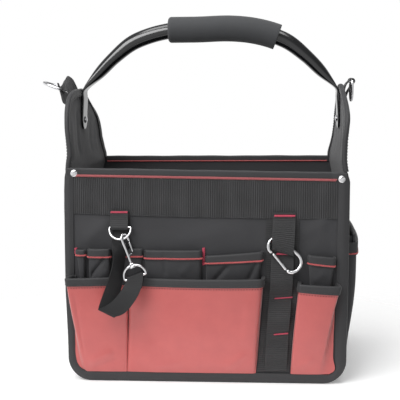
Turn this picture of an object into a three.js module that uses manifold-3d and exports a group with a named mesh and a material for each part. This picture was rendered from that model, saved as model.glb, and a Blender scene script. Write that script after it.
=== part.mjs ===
import * as THREE from 'three';
import { mergeVertices } from 'three/addons/utils/BufferGeometryUtils.js';
import Module from 'manifold-3d';

// Open tool tote. Millimetres, x to the right, y to the back, z up, base underside at z = 0.

// Body walls: outer faces, thicknesses and the clearance between neighbours
const HALF_WIDTH = 164.5;
const HALF_DEPTH = 105;
const RIM_Z = 253;
const RIM_FALL = 3;
const PANEL = 2;
const SIDE = 2.5;
const BASE = 3;
const BASE_Z = 1.5;
const BASE_TOP_Z = 34;
const CORNER_R = 27;
const GAP = 0.3;

// Cloth, webbing and binding tape
const POCKET_CLOTH = 1.2;
const TAPE = 1.2;
const WEBBING = 1.4;
const EDGE_TAPE = { left: [9.4, 8.4], right: [12, 7.6], bottom: 10.6, return: 10 };
const RIM_TAPE_WIDTH = 6.5;
const TAB_TAPE_WIDTH = 7;
const TAB_TAPE_GAP = 0.8;
const POCKET_TAPE = { outside: 8.5, inside: 6, top: 1.5, clear: 0.45 };
const DEEP_POCKET = 10;
const GUSSET_SHARE = 0.35;

// Pad under the base, between the bindings
const PAD_HALF_DEPTH = 92.4;
const PAD_EDGE = 0.2;
const PAD_MARGIN = 12;

// Tabs: the side panels above the rim; reach to the front and rear, and how far those edges lean out
const TAB_COLUMNS = ['z', 'front', 'rear', 'frontLean', 'rearLean'];
const TAB_ROWS = {
  left: table(
    TAB_COLUMNS,
    [258, 102.1, 102.1, -1.6, -2.6],
    [272, 101.6, 101.6, -4.4, -3.8],
    [286, 101, 101, -3.6, -3.8],
    [300, 99.5, 99.5, -2, -2.6],
    [314, 96, 91, -1.2, 0.6],
    [320, 93, 83, -0.8, 2],
    [325, 89, 73, -0.4, 3.4],
    [334.4, 78, 48, 0, 3.2],
    [341.2, 62, 24, 0, 1.5],
    [344.4, 46, 8, 0, 0],
  ),
  right: table(
    TAB_COLUMNS,
    [258, 102.1, 102.1, -1.2, -1.8],
    [272, 101.6, 101.6, -2, -0.6],
    [286, 101, 101, -1.8, 0.6],
    [300, 99.5, 99.5, 0, 1.5],
    [314, 94, 94, 1.4, 2.6],
    [326, 79, 80, 1, 3.4],
    [336, 60, 58, 0, 2.4],
    [343, 42, 36, -0.6, 0.8],
    [348, 24, 18, -0.6, 0],
  ),
};
const LEAN_WIDTH = 22;

// Front webbing band, its ends just inside the edge bindings
const BAND = { left: -154.4, right: 152, height: 45.5, drop: 7, slant: 0.0188 };

// Handle: bent tube with flattened ends, riveted inside the tabs
const STRIP_X = 160;
const HANDLE_RIVET_Z = 308.5;
const HANDLE_ROWS = table(
  ['x', 'z', 'thick', 'wide', 'square'],
  [160.3, 297, 2.4, 28, 0.35],
  [159.6, 318, 2.4, 28, 0.35],
  [158.5, 336, 2.4, 28, 0.35],
  [158.4, 344.6, 2.6, 28, 0.38],
  [154.4, 350.6, 5, 27.6, 0.45],
  [150.4, 355, 7.6, 27, 0.55],
  [142, 363.8, 12.8, 25, 0.8],
  [119.8, 386, 16.6, 22.4, 0.95],
  [95.3, 404.6, 19.2, 20, 1],
  [76, 412.3, 19.6, 19.6, 1],
  [52, 418, 19.6, 19.6, 1],
  [26, 420.6, 19.6, 19.6, 1],
  [0, 421.4, 19.6, 19.6, 1],
);
const TUBE_SIDES = 14;
const WIRE_SIDES = 8;
const GRIP = { from: -51, to: 85, bore: 10.3, radius: 16.25, edge: 3 };

// Rivets: domed caps on a shank
const HANDLE_RIVET = { head: 4.5, shank: 2.5, hole: 2.8, drill: 40, dome: 2.2, sides: 12 };
const CORNER_RIVET = { left: [-153.2, 251], right: [157.8, 243.8], head: 4.4, dome: 2.4, sides: 12 };

// Pocket walls: u along the panel, w out of it; sewn edges, folds and the crown between them
const POCKET_COLUMNS = [
  'z', 'sewnL', 'seatL', 'foldL', 'depthL', 'crown', 'foldR', 'depthR', 'sewnR', 'seatR',
];
const RED_POCKETS = {
  left: {
    slope: 0,
    rows: [
      [12.4, -143.6, 0.3, -143, 1, 0.3, -96.5, 0.9, -96.2, 0.3],
      [15.6, -149.2, 0.3, -147.4, 2.4, 0.6, -96.4, 1.2, -96.1, 0.4],
      [21.6, -152.8, 0.3, -148.6, 4.4, 1.2, -96.1, 2, -95.8, 0.8],
      [28.7, -153.4, 0.3, -149.6, 6.2, 1.6, -95.6, 2.4, -95.3, 1.2],
      [48, -153.2, 0.3, -152.3, 9.5, 2, -94.8, 3.4, -94.5, 2],
      [85, -153, 0.3, -156.8, 14.5, 2.5, -93, 6, -92.7, 4.6],
      [127.6, -153, 0.3, -161.2, 19.5, 2, -92.5, 7.2, -92.2, 5.4],
    ],
  },
  centre: {
    slope: 0.01,
    rows: [
      [12.4, -93, 0.3, -92.7, 0.9, 0.4, 56.4, 1, 59.2, 0.3],
      [22, -92.6, 0.8, -92.3, 2, 1.5, 57.6, 5, 60, 0.3],
      [48, -91.3, 2, -91, 3.4, 4, 59.5, 9.5, 62, 0.3],
      [85, -89.5, 4.6, -89.2, 6, 5.5, 62.8, 14.5, 64.5, 0.3],
      [127.4, -89, 5.4, -88.7, 7.2, 6.5, 67.3, 19.5, 67.3, 0.3],
    ],
  },
  right: {
    slope: -0.05,
    rows: [
      [12.4, 101, 0.3, 101.6, 1, 0.3, 133.2, 1, 146, 0.3],
      [15.2, 101.3, 0.3, 101.8, 2, 0.5, 134, 2, 150.6, 0.3],
      [22, 101.9, 0.3, 102.3, 4.4, 0.8, 135.5, 4, 152.4, 0.3],
      [28.5, 102.3, 0.3, 102.6, 5.8, 1, 136.9, 5.2, 150.8, 0.3],
      [48, 103.8, 0.3, 104, 9, 1.5, 140.5, 8.5, 150.5, 0.3],
      [85, 107.4, 0.3, 106.6, 13.5, 2, 147, 13.5, 150.8, 0.3],
      [121.2, 111.2, 0.3, 110, 18, 2, 155, 18, 150.8, 0.3],
    ],
  },
};
const MID_POCKETS = [
  { left: [-146.8, -150.4], right: [-142.2, -141.5], top: 159.5, depth: 6.5, crown: 0.6, slope: 0 },
  { left: [-136, -136.2], right: [-112, -111.5], top: 160.7, depth: 7, crown: 1.5, slope: 0 },
  { left: [-106.2, -106.4], right: [-74.8, -74.5], top: 160.3, depth: 1.9, crown: 0.3, slope: 0 },
  { left: [-69.2, -69.4], right: [-5, -4.6], top: 159.4, depth: 6.5, crown: 1.5, slope: 0 },
  { left: [2, 1.6], right: [62, 66.2], top: 155.4, depth: 6.5, crown: 1.5, slope: 0.08 },
  { left: [122.5, 120], right: [146, 149.5], top: 153, depth: 7, crown: 1, slope: -0.1 },
];
const MID_POCKET_FLOOR = { z: 95, depth: 1.1, crown: 0.2 };
const MID_POCKET_STEP = { z: 118, share: 0.6 };
const MID_FOLD_INSET = 1;
const SIDE_POCKETS = {
  tall: {
    slope: 0,
    rows: [
      [60, -84, 0.3, -83, 1, 0.3, 83, 1, 84, 0.3],
      [110, -84, 0.3, -83, 4.4, 1.6, 83, 4.4, 84, 0.3],
      [150, -84, 0.3, -82.5, 7.6, 2.6, 82.5, 7.6, 84, 0.3],
      [181, -84, 0.3, -82, 9.4, 3, 82, 9.4, 84, 0.3],
    ],
  },
  low: {
    slope: 0,
    rows: [
      [30, -90, 0.3, -89, 1, 0.4, 89, 1, 90, 0.3],
      [46, -90, 0.3, -88.5, 2.6, 1.3, 88.5, 3.4, 90, 0.3],
      [74, -90, 0.3, -88.5, 6, 3, 88.5, 7.4, 90, 0.3],
      [106, -90, 0.3, -88, 10, 4.2, 88, 12, 90, 0.3],
      [165, -90, 0.3, -87, 11.6, 5, 87, 15, 90, 0.3],
    ],
  },
};
// The left pockets lie flatter towards the front
const PRESSED = { inset: 10, share: { tall: 0.3, low: 0.5 } };

// Tool strip: base strip and bar-tacked webbing, whose first loop holds the carabiner
const DAISY_BASE = {
  thick: 1.2,
  outline: [[70.6, 197], [70.6, 126], [61, 14], [98.6, 14], [108.6, 126], [108.6, 197]],
};
const DAISY_HALF = 13;
const DAISY_ROWS = table(
  ['x', 'w', 'z', 'tilt'],
  [91.4, 2.9, 206, 0],
  [91.3, 2.9, 198, 0],
  [91, 5.6, 190, 0],
  [90.6, 8.8, 181, -1],
  [90.3, 10.4, 172, -2.6],
  [90.1, 10.6, 164.8, -4.2],
  [90, 8.8, 160, -4.4],
  [89.9, 5.6, 158.2, -3.4],
  [89.9, 3.2, 156.4, -1.4],
  [89.8, 2.6, 152, 0],
  [89.6, 6.2, 143, 0],
  [89.2, 8.2, 131, 0],
  [88.4, 6.4, 115, 0],
  [87.8, 2.7, 107, 0],
  [87.6, 2.6, 102, 0],
  [87, 6, 93, 0],
  [86.2, 7.6, 83, 0],
  [85.4, 5.6, 71, 0],
  [85, 2.6, 63, 0],
  [84.9, 2.6, 58, 0],
  [84.2, 4, 48, 0],
  [83.4, 3.8, 32, 0],
  [82.6, 2.6, 16, 0.6],
);

// Carabiner: one bent wire and a straight gate, leaning out of the panel from its hidden side
const CARABINER_WIRE = 2.1;
const CARABINER_GATE_WIRE = 1.7;
const CARABINER_LEAN = 0.27;
const CARABINER_DEPTH = 4.4;
const CARABINER_TOP = [[76.9, 173.4], [101, 161.3]];
const CARABINER_FRAME = [
  [78, 158.9], [74.4, 161.6], [73.3, 166.8], [75.6, 172.6], [79.9, 174.6], [84.6, 172.8], [92.3, 167.2],
  [101, 161.3], [108.6, 154.8], [111.3, 148.4], [109.2, 141.4], [103.4, 136.8], [98.2, 136.6], [94.4, 139],
];
const CARABINER_GATE = [[79.4, 157.2], [93.9, 139.7]];

// Hook group hanging from the band
const RING_TAB = { x: -100.2, half: 10.3 };
const RING_TAB_ROWS = table(
  ['w', 'z'],
  [2.6, 208],
  [2.6, 196],
  [2.8, 188.4],
  [4.2, 185.4],
  [6.6, 185.2],
  [8, 187.4],
  [7.2, 190.2],
  [5.2, 196],
  [4.4, 202],
  [4.4, 208],
);
const HOOK_RING = { x: -98.9, w: 5.4, z: 188, half: 12.9, wire: 1.35, foot: [12.2, 174.6] };
const HOOK_ORIGIN = { x: -84.3, w: 21.5, z: 148.5 };
const HOOK_AXIS = { x: -0.367, w: -0.146, z: 0.919 };
const HOOK_SIDE = { x: 0.479, w: -0.868, z: 0.053 };
const HOOK = { wire: 1.5, bend: 5.5, bendSteps: 8, bendAt: 29.2, noseAt: 24.6, lug: [8.4, [8.6, 9.8]] };
const HOOK_GATE = { wire: 1.2, foot: [10.2, 11.8], tip: [10.9, 24.3] };
const SWIVEL = { radius: 3, length: 5.6, sides: 10 };
const HALF_RING = { x: -79, w: 22, z: 132.2, half: 13.2, rise: 14, wire: 1.5, slant: 0.3403 };
const STRAP_HALF = 10;
const STRAP_ROWS = table(
  ['x', 'w', 'z', 'slant', 'turn'],
  [-98.5, 1.1, 198.4, 0, 0],
  [-98.5, 1.2, 186, 0, 0],
  [-98.6, 3.2, 176, 0, 6],
  [-98.4, 10, 166.5, -2, 26],
  [-98.4, 15.6, 157, -5, 50],
  [-99, 19, 147, -8, 55],
  [-100.8, 23.5, 135, -12, 48],
  [-103.4, 27.5, 122, -16, 36],
  [-107, 31, 109, -21, 20],
  [-110.4, 34, 98.5, -25, 6],
  [-111.8, 36, 93.4, -26, 0],
  [-111.2, 38.4, 92.6, -26.5, 0],
  [-109, 39.8, 94.2, -28, -2],
  [-103, 39.6, 96.5, -33, -4],
  [-96, 38, 101, -38, -6],
  [-89.5, 35, 108, -35, -8],
  [-84, 31.2, 116.5, -22, -8],
  [-80.6, 27.6, 124.5, -2, -5],
  [-79.2, 24.9, 131.6, 17, 0],
  [-79.9, 23.4, 134.6, 19.5, 0],
  [-79.9, 20.6, 134.6, 19.5, 0],
  [-79, 19.1, 132, 18, 0],
  [-79.6, 21, 127, 8, 0],
  [-81.2, 24.4, 120.6, -6, -4],
);

// Shoulder strap loops on the tabs and the D rings that they hold
const STRAP_LOOP_HALF = 12.5;
const STRAP_RING = { half: 14.8, reach: 24, wire: 1.85 };
const RING_SLEEVE = 3.15;
const STRAP_POINTS = {
  left: {
    bar: [188, 347.4],
    ringTilt: 20,
    sleeve: [-40, 130],
    back: [[165.9, 318], [165.9, 326], [170, 331], [180, 334.4], [189, 339.6]],
    front: [[182, 354.2], [176.6, 351], [172.4, 344], [169.2, 336.4], [167.8, 328], [167.8, 318]],
  },
  right: {
    bar: [176.2, 354.6],
    ringTilt: -90,
    sleeve: [175, -45],
    back: [[165.9, 318], [165.9, 333], [167.3, 338], [167.4, 345], [169.8, 351.4]],
    front: [[174.8, 347], [171.6, 342], [169.2, 336], [167.9, 330], [167.8, 318]],
  },
};

const COLOURS = {
  blackCloth: material(0x3a3a3d, 0.75, 0),
  blackTape: material(0x2e2e31, 0.85, 0),
  redCloth: material(0xc8504f, 0.55, 0),
  blackSteel: material(0x18181a, 0.25, 0.4),
  grip: material(0x3b3b3d, 0.9, 0),
  chrome: material(0xd2d2d4, 0.2, 1),
};

function material(color, roughness, metalness) {
  return new THREE.MeshStandardMaterial({ color, roughness, metalness });
}

function table(names, ...values) {
  return values.map((row) => Object.fromEntries(names.map((name, i) => [name, row[i]])));
}

const wasm = await Module();
wasm.setup();

const tote = new THREE.Group();

function piece(name, geometry, finish) {
  const mesh = new THREE.Mesh(geometry, finish);
  mesh.name = name;
  tote.add(mesh);
}

// Points on the outer face of the front panel, w out of it
const onFront = (x, w, z) => new THREE.Vector3(x, -(HALF_DEPTH + w), z);
const onBack = (x, w, z) => new THREE.Vector3(x, HALF_DEPTH + w, z);
const onSide = (sign) => (u, w, z) => new THREE.Vector3(sign * (HALF_WIDTH + w), u, z);
const rimZ = (x) => RIM_Z - (RIM_FALL * x) / HALF_WIDTH;
const mix = THREE.MathUtils.lerp;
const radians = THREE.MathUtils.degToRad;

// Closed body from points and triangles, turned so that its faces point out
function solid(points, faces) {
  const volume = faces.reduce((sum, [a, b, c]) => {
    const normal = points[b].clone().cross(points[c]);
    return sum + points[a].dot(normal);
  }, 0);
  const outward = volume < 0 ? faces.map(([a, b, c]) => [a, c, b]) : faces;
  const geometry = new THREE.BufferGeometry().setFromPoints(points);
  geometry.setIndex(outward.flat());
  geometry.computeVertexNormals();
  return geometry;
}

const CAPS = {
  fan: (n) => Array.from({ length: n - 2 }, (_, i) => [0, i + 1, i + 2]),
  strip: (n) => Array.from({ length: n / 2 - 1 }, (_, i) => [
    [i, i + 1, n - 2 - i],
    [i, n - 2 - i, n - 1 - i],
  ]).flat(),
};

// Skin over rings of equal point counts; 'loop' joins the last ring to the first
function loft(rings, cap) {
  const n = rings[0].length;
  const spans = cap === 'loop' ? rings.length : rings.length - 1;
  const faces = [];
  for (let r = 0; r < spans; r += 1) {
    const here = r * n;
    const next = ((r + 1) % rings.length) * n;
    for (let i = 0; i < n; i += 1) {
      const j = (i + 1) % n;
      faces.push([here + i, here + j, next + j], [here + i, next + j, next + i]);
    }
  }
  if (cap !== 'loop') {
    const top = (rings.length - 1) * n;
    for (const [a, b, c] of CAPS[cap](n)) {
      faces.push([a, c, b], [top + a, top + b, top + c]);
    }
  }
  return solid(rings.flat(), faces);
}

// Line moved sideways in its plane, mitred at corners; steep ends stay level with the panel
const MITRE_LIMIT = 2.2;
function offsetLine(line, distance) {
  const normals = line.slice(1).map(([u, w], i) => {
    const [u0, w0] = line[i];
    const length = Math.hypot(u - u0, w - w0);
    return [-(w - w0) / length, (u - u0) / length];
  });
  return line.map(([u, w], i) => {
    const a = normals[Math.max(i - 1, 0)];
    const b = normals[Math.min(i, normals.length - 1)];
    if (a === b && Math.abs(a[0]) > 0.5) {
      return [u + distance / a[0], w];
    }
    const length = Math.hypot(a[0] + b[0], a[1] + b[1]);
    const mitre = [(a[0] + b[0]) / length, (a[1] + b[1]) / length];
    const stretch = Math.min(1 / Math.max(mitre[0] * b[0] + mitre[1] * b[1], 0.1), MITRE_LIMIT);
    return [u + mitre[0] * distance * stretch, w + mitre[1] * distance * stretch];
  });
}

// Outline of a strip of tape whose middle follows a line
function tapeOutline(line, thick) {
  return [...offsetLine(line, thick / 2), ...offsetLine(line, -thick / 2).reverse()];
}

// Flat piece cut to an outline of x, z points and laid on the front panel
function plate(outline, near, far, place = onFront) {
  const n = outline.length;
  const rings = [near, far].map((w) => outline.map(([x, z]) => place(x, w, z)));
  const flat = outline.map(([x, z]) => new THREE.Vector2(x, z));
  const caps = THREE.ShapeUtils.triangulateShape(flat, []);
  const faces = outline.flatMap((_, i) => {
    const j = (i + 1) % n;
    return [[i, j, n + j], [i, n + j, n + i]];
  });
  const turn = Math.sign(THREE.ShapeUtils.area(flat));
  for (const [a, b, c] of caps) {
    const sense = turn * Math.sign(THREE.ShapeUtils.area([flat[a], flat[b], flat[c]]));
    const [p, q] = sense > 0 ? [b, c] : [c, b];
    faces.push([a, q, p], [n + a, n + p, n + q]);
  }
  return solid(rings.flat(), faces);
}

// Bent wire of round section along points that lie near one plane
function wire(points, across, radius, sides, closed) {
  const n = points.length;
  const rings = points.map((point, i) => {
    const before = closed ? points[(i + n - 1) % n] : points[Math.max(i - 1, 0)];
    const after = closed ? points[(i + 1) % n] : points[Math.min(i + 1, n - 1)];
    const along = after.clone().sub(before).normalize();
    const out = across.clone().cross(along).normalize();
    const over = along.clone().cross(out);
    return Array.from({ length: sides }, (_, k) => {
      const turn = (2 * Math.PI * k) / sides;
      return point.clone()
        .addScaledVector(out, radius * Math.cos(turn))
        .addScaledVector(over, radius * Math.sin(turn));
    });
  });
  return loft(rings, closed ? 'loop' : 'fan');
}

// Flat tape along stations, each with its own width direction
function ribbon(stations, thick) {
  const rings = stations.map(({ centre, width, half }, i) => {
    const before = stations[Math.max(i - 1, 0)].centre;
    const after = stations[Math.min(i + 1, stations.length - 1)].centre;
    const along = after.clone().sub(before).normalize();
    const face = width.clone().cross(along).normalize();
    const corners = [[-1, 1], [1, 1], [1, -1], [-1, -1]];
    return corners.map(([s, t]) => centre.clone()
      .addScaledVector(width, s * half)
      .addScaledVector(face, (t * thick) / 2));
  });
  return loft(rings, 'strip');
}

// Cut or join two closed bodies
function manifoldOf(geometry) {
  const bare = geometry.clone();
  for (const name of Object.keys(bare.attributes)) {
    if (name !== 'position') {
      bare.deleteAttribute(name);
    }
  }
  const merged = mergeVertices(bare, 1e-4);
  const triVerts = Uint32Array.from(merged.index.array);
  const vertProperties = Float32Array.from(merged.attributes.position.array);
  return new wasm.Manifold(new wasm.Mesh({ numProp: 3, vertProperties, triVerts }));
}

function geometryOf(body) {
  const mesh = body.getMesh();
  const geometry = new THREE.BufferGeometry();
  geometry.setAttribute('position', new THREE.BufferAttribute(Float32Array.from(mesh.vertProperties), 3));
  geometry.setIndex(Array.from(mesh.triVerts));
  geometry.computeVertexNormals();
  return geometry;
}

const cut = (body, tool) => geometryOf(manifoldOf(body).subtract(manifoldOf(tool)));
const join = (body, other) => geometryOf(manifoldOf(body).add(manifoldOf(other)));

// Turned body about an axis, from [radius, distance along the axis] pairs
function turned(profile, centre, axis, sides) {
  const lathe = new THREE.LatheGeometry(profile.map(([r, h]) => new THREE.Vector2(r, h)), sides);
  const turn = new THREE.Quaternion().setFromUnitVectors(new THREE.Vector3(0, 1, 0), axis);
  return lathe.applyQuaternion(turn).translate(centre.x, centre.y, centre.z);
}

// Edge path of the body seen from the front: down the left, round the bottom, up the right
const ARC_STEPS = 8;
function bodyPath(leftTop, rightTop) {
  const path = [{ x: -HALF_WIDTH, z: leftTop, nx: -1, nz: 0, flat: 0 }];
  for (const side of [-1, 1]) {
    for (let i = 0; i <= ARC_STEPS; i += 1) {
      const share = side < 0 ? i / ARC_STEPS : 1 - i / ARC_STEPS;
      const turn = (share * Math.PI) / 2;
      const nx = side * Math.cos(turn);
      const nz = -Math.sin(turn);
      const x = side * (HALF_WIDTH - CORNER_R) + CORNER_R * nx;
      path.push({ x, z: BASE_Z + CORNER_R + CORNER_R * nz, nx, nz, flat: 0 });
    }
    if (side < 0) {
      const reach = HALF_WIDTH - CORNER_R - PAD_MARGIN;
      path.push({ x: -reach, z: BASE_Z, nx: 0, nz: -1, flat: 1 });
      path.push({ x: reach, z: BASE_Z, nx: 0, nz: -1, flat: 1 });
    }
  }
  path.push({ x: HALF_WIDTH, z: rightTop, nx: 1, nz: 0, flat: 0 });
  return path;
}

// Body panels
function panelOutline(leftTop, rightTop) {
  const corners = bodyPath(leftTop, rightTop).filter(({ flat }) => flat === 0);
  return corners.map(({ x, z }) => [x, z]);
}

piece('front_panel', plate(panelOutline(rimZ(-HALF_WIDTH), rimZ(HALF_WIDTH)), -PANEL, 0), COLOURS.blackCloth);
piece('back_panel', plate(panelOutline(RIM_Z, RIM_Z), -PANEL, 0, onBack), COLOURS.blackCloth);

function basePanel() {
  const edge = HALF_DEPTH - PANEL - GAP;
  const rings = bodyPath(BASE_TOP_Z, BASE_TOP_Z).map(({ x, z, nx, nz, flat }) => {
    const pad = flat ? BASE_Z : PAD_EDGE;
    const outer = [[-edge, 0], [-PAD_HALF_DEPTH, 0], [-PAD_HALF_DEPTH, pad]];
    const inner = [[-edge, -BASE], [-PAD_HALF_DEPTH, -BASE], [1 - PAD_HALF_DEPTH, -BASE]];
    const mirrored = (half) => half.map(([y, n]) => [-y, n]).reverse();
    const ring = [...outer, ...mirrored(outer), ...[...inner, ...mirrored(inner)].reverse()];
    return ring.map(([y, n]) => new THREE.Vector3(x + n * nx, y, z + n * nz));
  });
  return loft(rings, 'strip');
}
piece('base_panel', basePanel(), COLOURS.blackCloth);

// Side panels rise into the tabs, whose edges flare outwards
const SIDE_EDGE = HALF_DEPTH - PANEL - GAP;
const STRAIGHT_ROWS = [BASE_TOP_Z + GAP, RIM_Z - RIM_FALL].map((z) => (
  { z, front: SIDE_EDGE, rear: SIDE_EDGE, frontLean: 0, rearLean: 0 }
));
function leanAt(y, row) {
  const [edge, lean] = y < 0 ? [row.front, row.frontLean] : [row.rear, row.rearLean];
  const width = Math.min(LEAN_WIDTH, edge);
  return (lean * Math.max(Math.abs(y) - (edge - width), 0)) / width;
}

// Row of a table at a height between its own, each column mixed
function rowAt(rows, z) {
  const found = rows.findIndex((row) => row.z >= z);
  const upper = found < 0 ? rows.length - 1 : Math.max(1, found);
  const [a, b] = [rows[upper - 1], rows[upper]];
  const share = Math.min((z - a.z) / (b.z - a.z), 1);
  return Object.fromEntries(Object.keys(a).map((key) => [key, mix(a[key], b[key], share)]));
}

function sidePanel(side, sign) {
  const place = onSide(sign);
  const rings = [...STRAIGHT_ROWS, ...TAB_ROWS[side]].map((row) => {
    const front = Math.max(row.front - LEAN_WIDTH, GAP);
    const rear = Math.max(row.rear - LEAN_WIDTH, GAP);
    const columns = [-row.front, -front, 0, rear, row.rear];
    const outer = columns.map((y) => place(y, leanAt(y, row), row.z));
    const inner = columns.map((y) => place(y, leanAt(y, row) - SIDE, row.z));
    return [...outer, ...inner.reverse()];
  });
  return loft(rings, 'strip');
}

function rivetHole(sign) {
  const { hole, drill, sides } = HANDLE_RIVET;
  const bit = new THREE.CylinderGeometry(hole, hole, drill, sides);
  return bit.rotateZ(Math.PI / 2).translate(sign * (HALF_WIDTH - SIDE), 0, HANDLE_RIVET_Z);
}

for (const [side, sign] of [['left', -1], ['right', 1]]) {
  piece(`side_panel_${side}`, cut(sidePanel(side, sign), rivetHole(sign)), COLOURS.blackCloth);
}

// Bindings: an L of tape round the panel edges, a C of tape over the rims and tabs
function edgeTapeWidth(nx, nz) {
  const [side, corner] = EDGE_TAPE[nx < 0 ? 'left' : 'right'];
  const turn = Math.atan2(-nz, Math.abs(nx));
  const straight = mix(side, EDGE_TAPE.bottom, (2 * turn) / Math.PI);
  return straight + (corner - (side + EDGE_TAPE.bottom) / 2) * Math.sin(2 * turn);
}

function edgeBinding(leftTop, rightTop, place) {
  const middle = GAP + TAPE / 2;
  const rings = bodyPath(leftTop, rightTop).filter(({ flat }) => flat === 0).map(({ x, z, nx, nz }) => {
    const line = [[-edgeTapeWidth(nx, nz), middle], [middle, middle], [middle, -EDGE_TAPE.return]];
    return tapeOutline(line, TAPE).map(([n, w]) => place(x + n * nx, w, z + n * nz));
  });
  return loft(rings, 'strip');
}
piece('front_edge_binding', edgeBinding(rimZ(-HALF_WIDTH), rimZ(HALF_WIDTH), onFront), COLOURS.blackTape);
piece('back_edge_binding', edgeBinding(RIM_Z, RIM_Z, onBack), COLOURS.blackTape);

function rimBinding(height, place) {
  const out = GAP + TAPE / 2;
  const line = [[out, -RIM_TAPE_WIDTH], [out, out], [-PANEL - out, out], [-PANEL - out, -RIM_TAPE_WIDTH]];
  const outline = tapeOutline(line, TAPE);
  const rings = [BAND.left, BAND.right].map((x) => outline.map(([w, h]) => place(x, w, height(x) + h)));
  return loft(rings, 'strip');
}
piece('front_rim_binding', rimBinding(rimZ, onFront), COLOURS.blackTape);
piece('back_rim_binding', rimBinding(() => RIM_Z, onBack), COLOURS.blackTape);

function tabBinding(side, sign) {
  const place = onSide(sign);
  const rows = TAB_ROWS[side];
  const out = TAB_TAPE_GAP + TAPE / 2;
  const line = [[-TAB_TAPE_WIDTH, out], [out, out], [out, -SIDE - out], [-TAB_TAPE_WIDTH, -SIDE - out]];
  const outline = tapeOutline(line, TAPE);
  const front = rows.map((row) => ({ y: -row.front, row }));
  const rear = rows.map((row) => ({ y: row.rear, row }));
  const stations = [...front, ...rear.reverse()];
  const rings = stations.map(({ y, row }, i) => {
    const before = stations[Math.max(i - 1, 0)];
    const after = stations[Math.min(i + 1, stations.length - 1)];
    const dy = after.y - before.y;
    const dz = after.row.z - before.row.z;
    const length = Math.hypot(dy, dz);
    return outline.map(([e, w]) => {
      const [py, pz] = [y - (e * dz) / length, row.z + (e * dy) / length];
      return place(py, w + leanAt(py, rowAt(rows, pz)), pz);
    });
  });
  return loft(rings, 'strip');
}
piece('tab_binding_left', tabBinding('left', -1), COLOURS.blackTape);
piece('tab_binding_right', tabBinding('right', 1), COLOURS.blackTape);

const bandZ = (x, drop) => RIM_Z - drop - BAND.slant * x;
const bandFoot = BAND.drop + BAND.height;
const bandOutline = [['left', BAND.drop], ['right', BAND.drop], ['right', bandFoot], ['left', bandFoot]]
  .map(([side, drop]) => [BAND[side], bandZ(BAND[side], drop)]);
piece('front_webbing_band', plate(bandOutline, GAP, GAP + WEBBING), COLOURS.blackTape);

// Pockets: a thin wall from one sewn edge over two folds to the other, with tape over its top edge
const CROWN_STEPS = [0.25, 0.5, 0.75];
function pocketLine(row) {
  const crown = CROWN_STEPS.map((t) => [
    mix(row.foldL, row.foldR, t),
    mix(row.depthL, row.depthR, t) + row.crown * (1 - (2 * t - 1) ** 2),
  ]);
  const folds = [[row.foldL, row.depthL], ...crown, [row.foldR, row.depthR]];
  return [[row.sewnL, row.seatL], ...folds, [row.sewnR, row.seatR]];
}

function slopedPlace(rows, slope, place) {
  const [low, high] = [rows[0], rows[rows.length - 1]];
  const middle = (high.foldL + high.foldR) / 2;
  return (u, w, z) => {
    const lift = slope * (u - middle) * Math.min((z - low.z) / (high.z - low.z), 1);
    return place(u, w, z + lift);
  };
}

function pocketWall(rows, slope, place) {
  const put = slopedPlace(rows, slope, place);
  const rings = rows.map((row) => {
    const line = pocketLine(row);
    const outline = [...offsetLine(line, POCKET_CLOTH), ...[...line].reverse()];
    return outline.map(([u, w]) => put(u, w, row.z));
  });
  return loft(rings, 'strip');
}

function pocketBinding(rows, slope, place) {
  const put = slopedPlace(rows, slope, place);
  const top = rows[rows.length - 1].z;
  const { outside, inside, clear } = POCKET_TAPE;
  const out = POCKET_CLOTH + clear;
  const profile = [
    [out + TAPE, -outside], [out + TAPE, POCKET_TAPE.top],
    [-clear - TAPE, POCKET_TAPE.top], [-clear - TAPE, -inside],
    [-clear, -inside], [-clear, GAP], [out, GAP], [out, -outside],
  ];
  const lines = profile.map(([offset, height]) => {
    const line = pocketLine(rowAt(rows, Math.min(top + height, top)));
    const ends = [[0, 1], [line.length - 1, line.length - 2]].map(([sewn, fold]) => (
      line[fold][1] < DEEP_POCKET ? [] : [[0, 1].map((k) => mix(line[sewn][k], line[fold][k], GUSSET_SHARE))]
    ));
    return { height, line: offsetLine([...ends[0], ...line.slice(1, -1), ...ends[1]], offset) };
  });
  const rings = lines[0].line.map((_, i) => lines.map(({ height, line }) => put(...line[i], top + height)));
  return loft(rings, 'strip');
}

function pocket(name, rows, slope, place, cloth) {
  piece(name, pocketWall(rows, slope, place), cloth);
  piece(`${name}_binding`, pocketBinding(rows, slope, place), COLOURS.blackTape);
}

for (const [where, { slope, rows }] of Object.entries(RED_POCKETS)) {
  pocket(`red_pocket_${where}`, table(POCKET_COLUMNS, ...rows), slope, onFront, COLOURS.redCloth);
}

// Middle pockets start behind the red ones and open above them
function midRows({ left, right, top, depth, crown }) {
  const step = MID_POCKET_STEP;
  const floor = MID_POCKET_FLOOR;
  const levels = [
    [floor.z, 0, Math.min(floor.depth, depth), Math.min(floor.crown, crown)],
    [step.z, 0, depth * step.share, crown * step.share],
    [top, 1, depth, crown],
  ];
  return table(POCKET_COLUMNS, ...levels.map(([z, k, deep, rise]) => [
    z, left[k], GAP, left[k] + MID_FOLD_INSET, deep, rise, right[k] - MID_FOLD_INSET, deep, right[k], GAP,
  ]));
}
MID_POCKETS.forEach((size, i) => {
  pocket(`mid_pocket_${i + 1}`, midRows(size), size.slope, onFront, COLOURS.blackCloth);
});

const pressed = (row, kind) => ({
  ...row,
  sewnL: row.sewnL + PRESSED.inset,
  foldL: row.foldL + PRESSED.inset,
  depthL: row.depthL * PRESSED.share[kind],
});
for (const [side, sign] of [['left', -1], ['right', 1]]) {
  for (const [kind, { slope, rows }] of Object.entries(SIDE_POCKETS)) {
    const levels = table(POCKET_COLUMNS, ...rows).map((row) => (side === 'left' ? pressed(row, kind) : row));
    pocket(`side_pocket_${kind}_${side}`, levels, slope, onSide(sign), COLOURS.blackCloth);
  }
}

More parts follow.
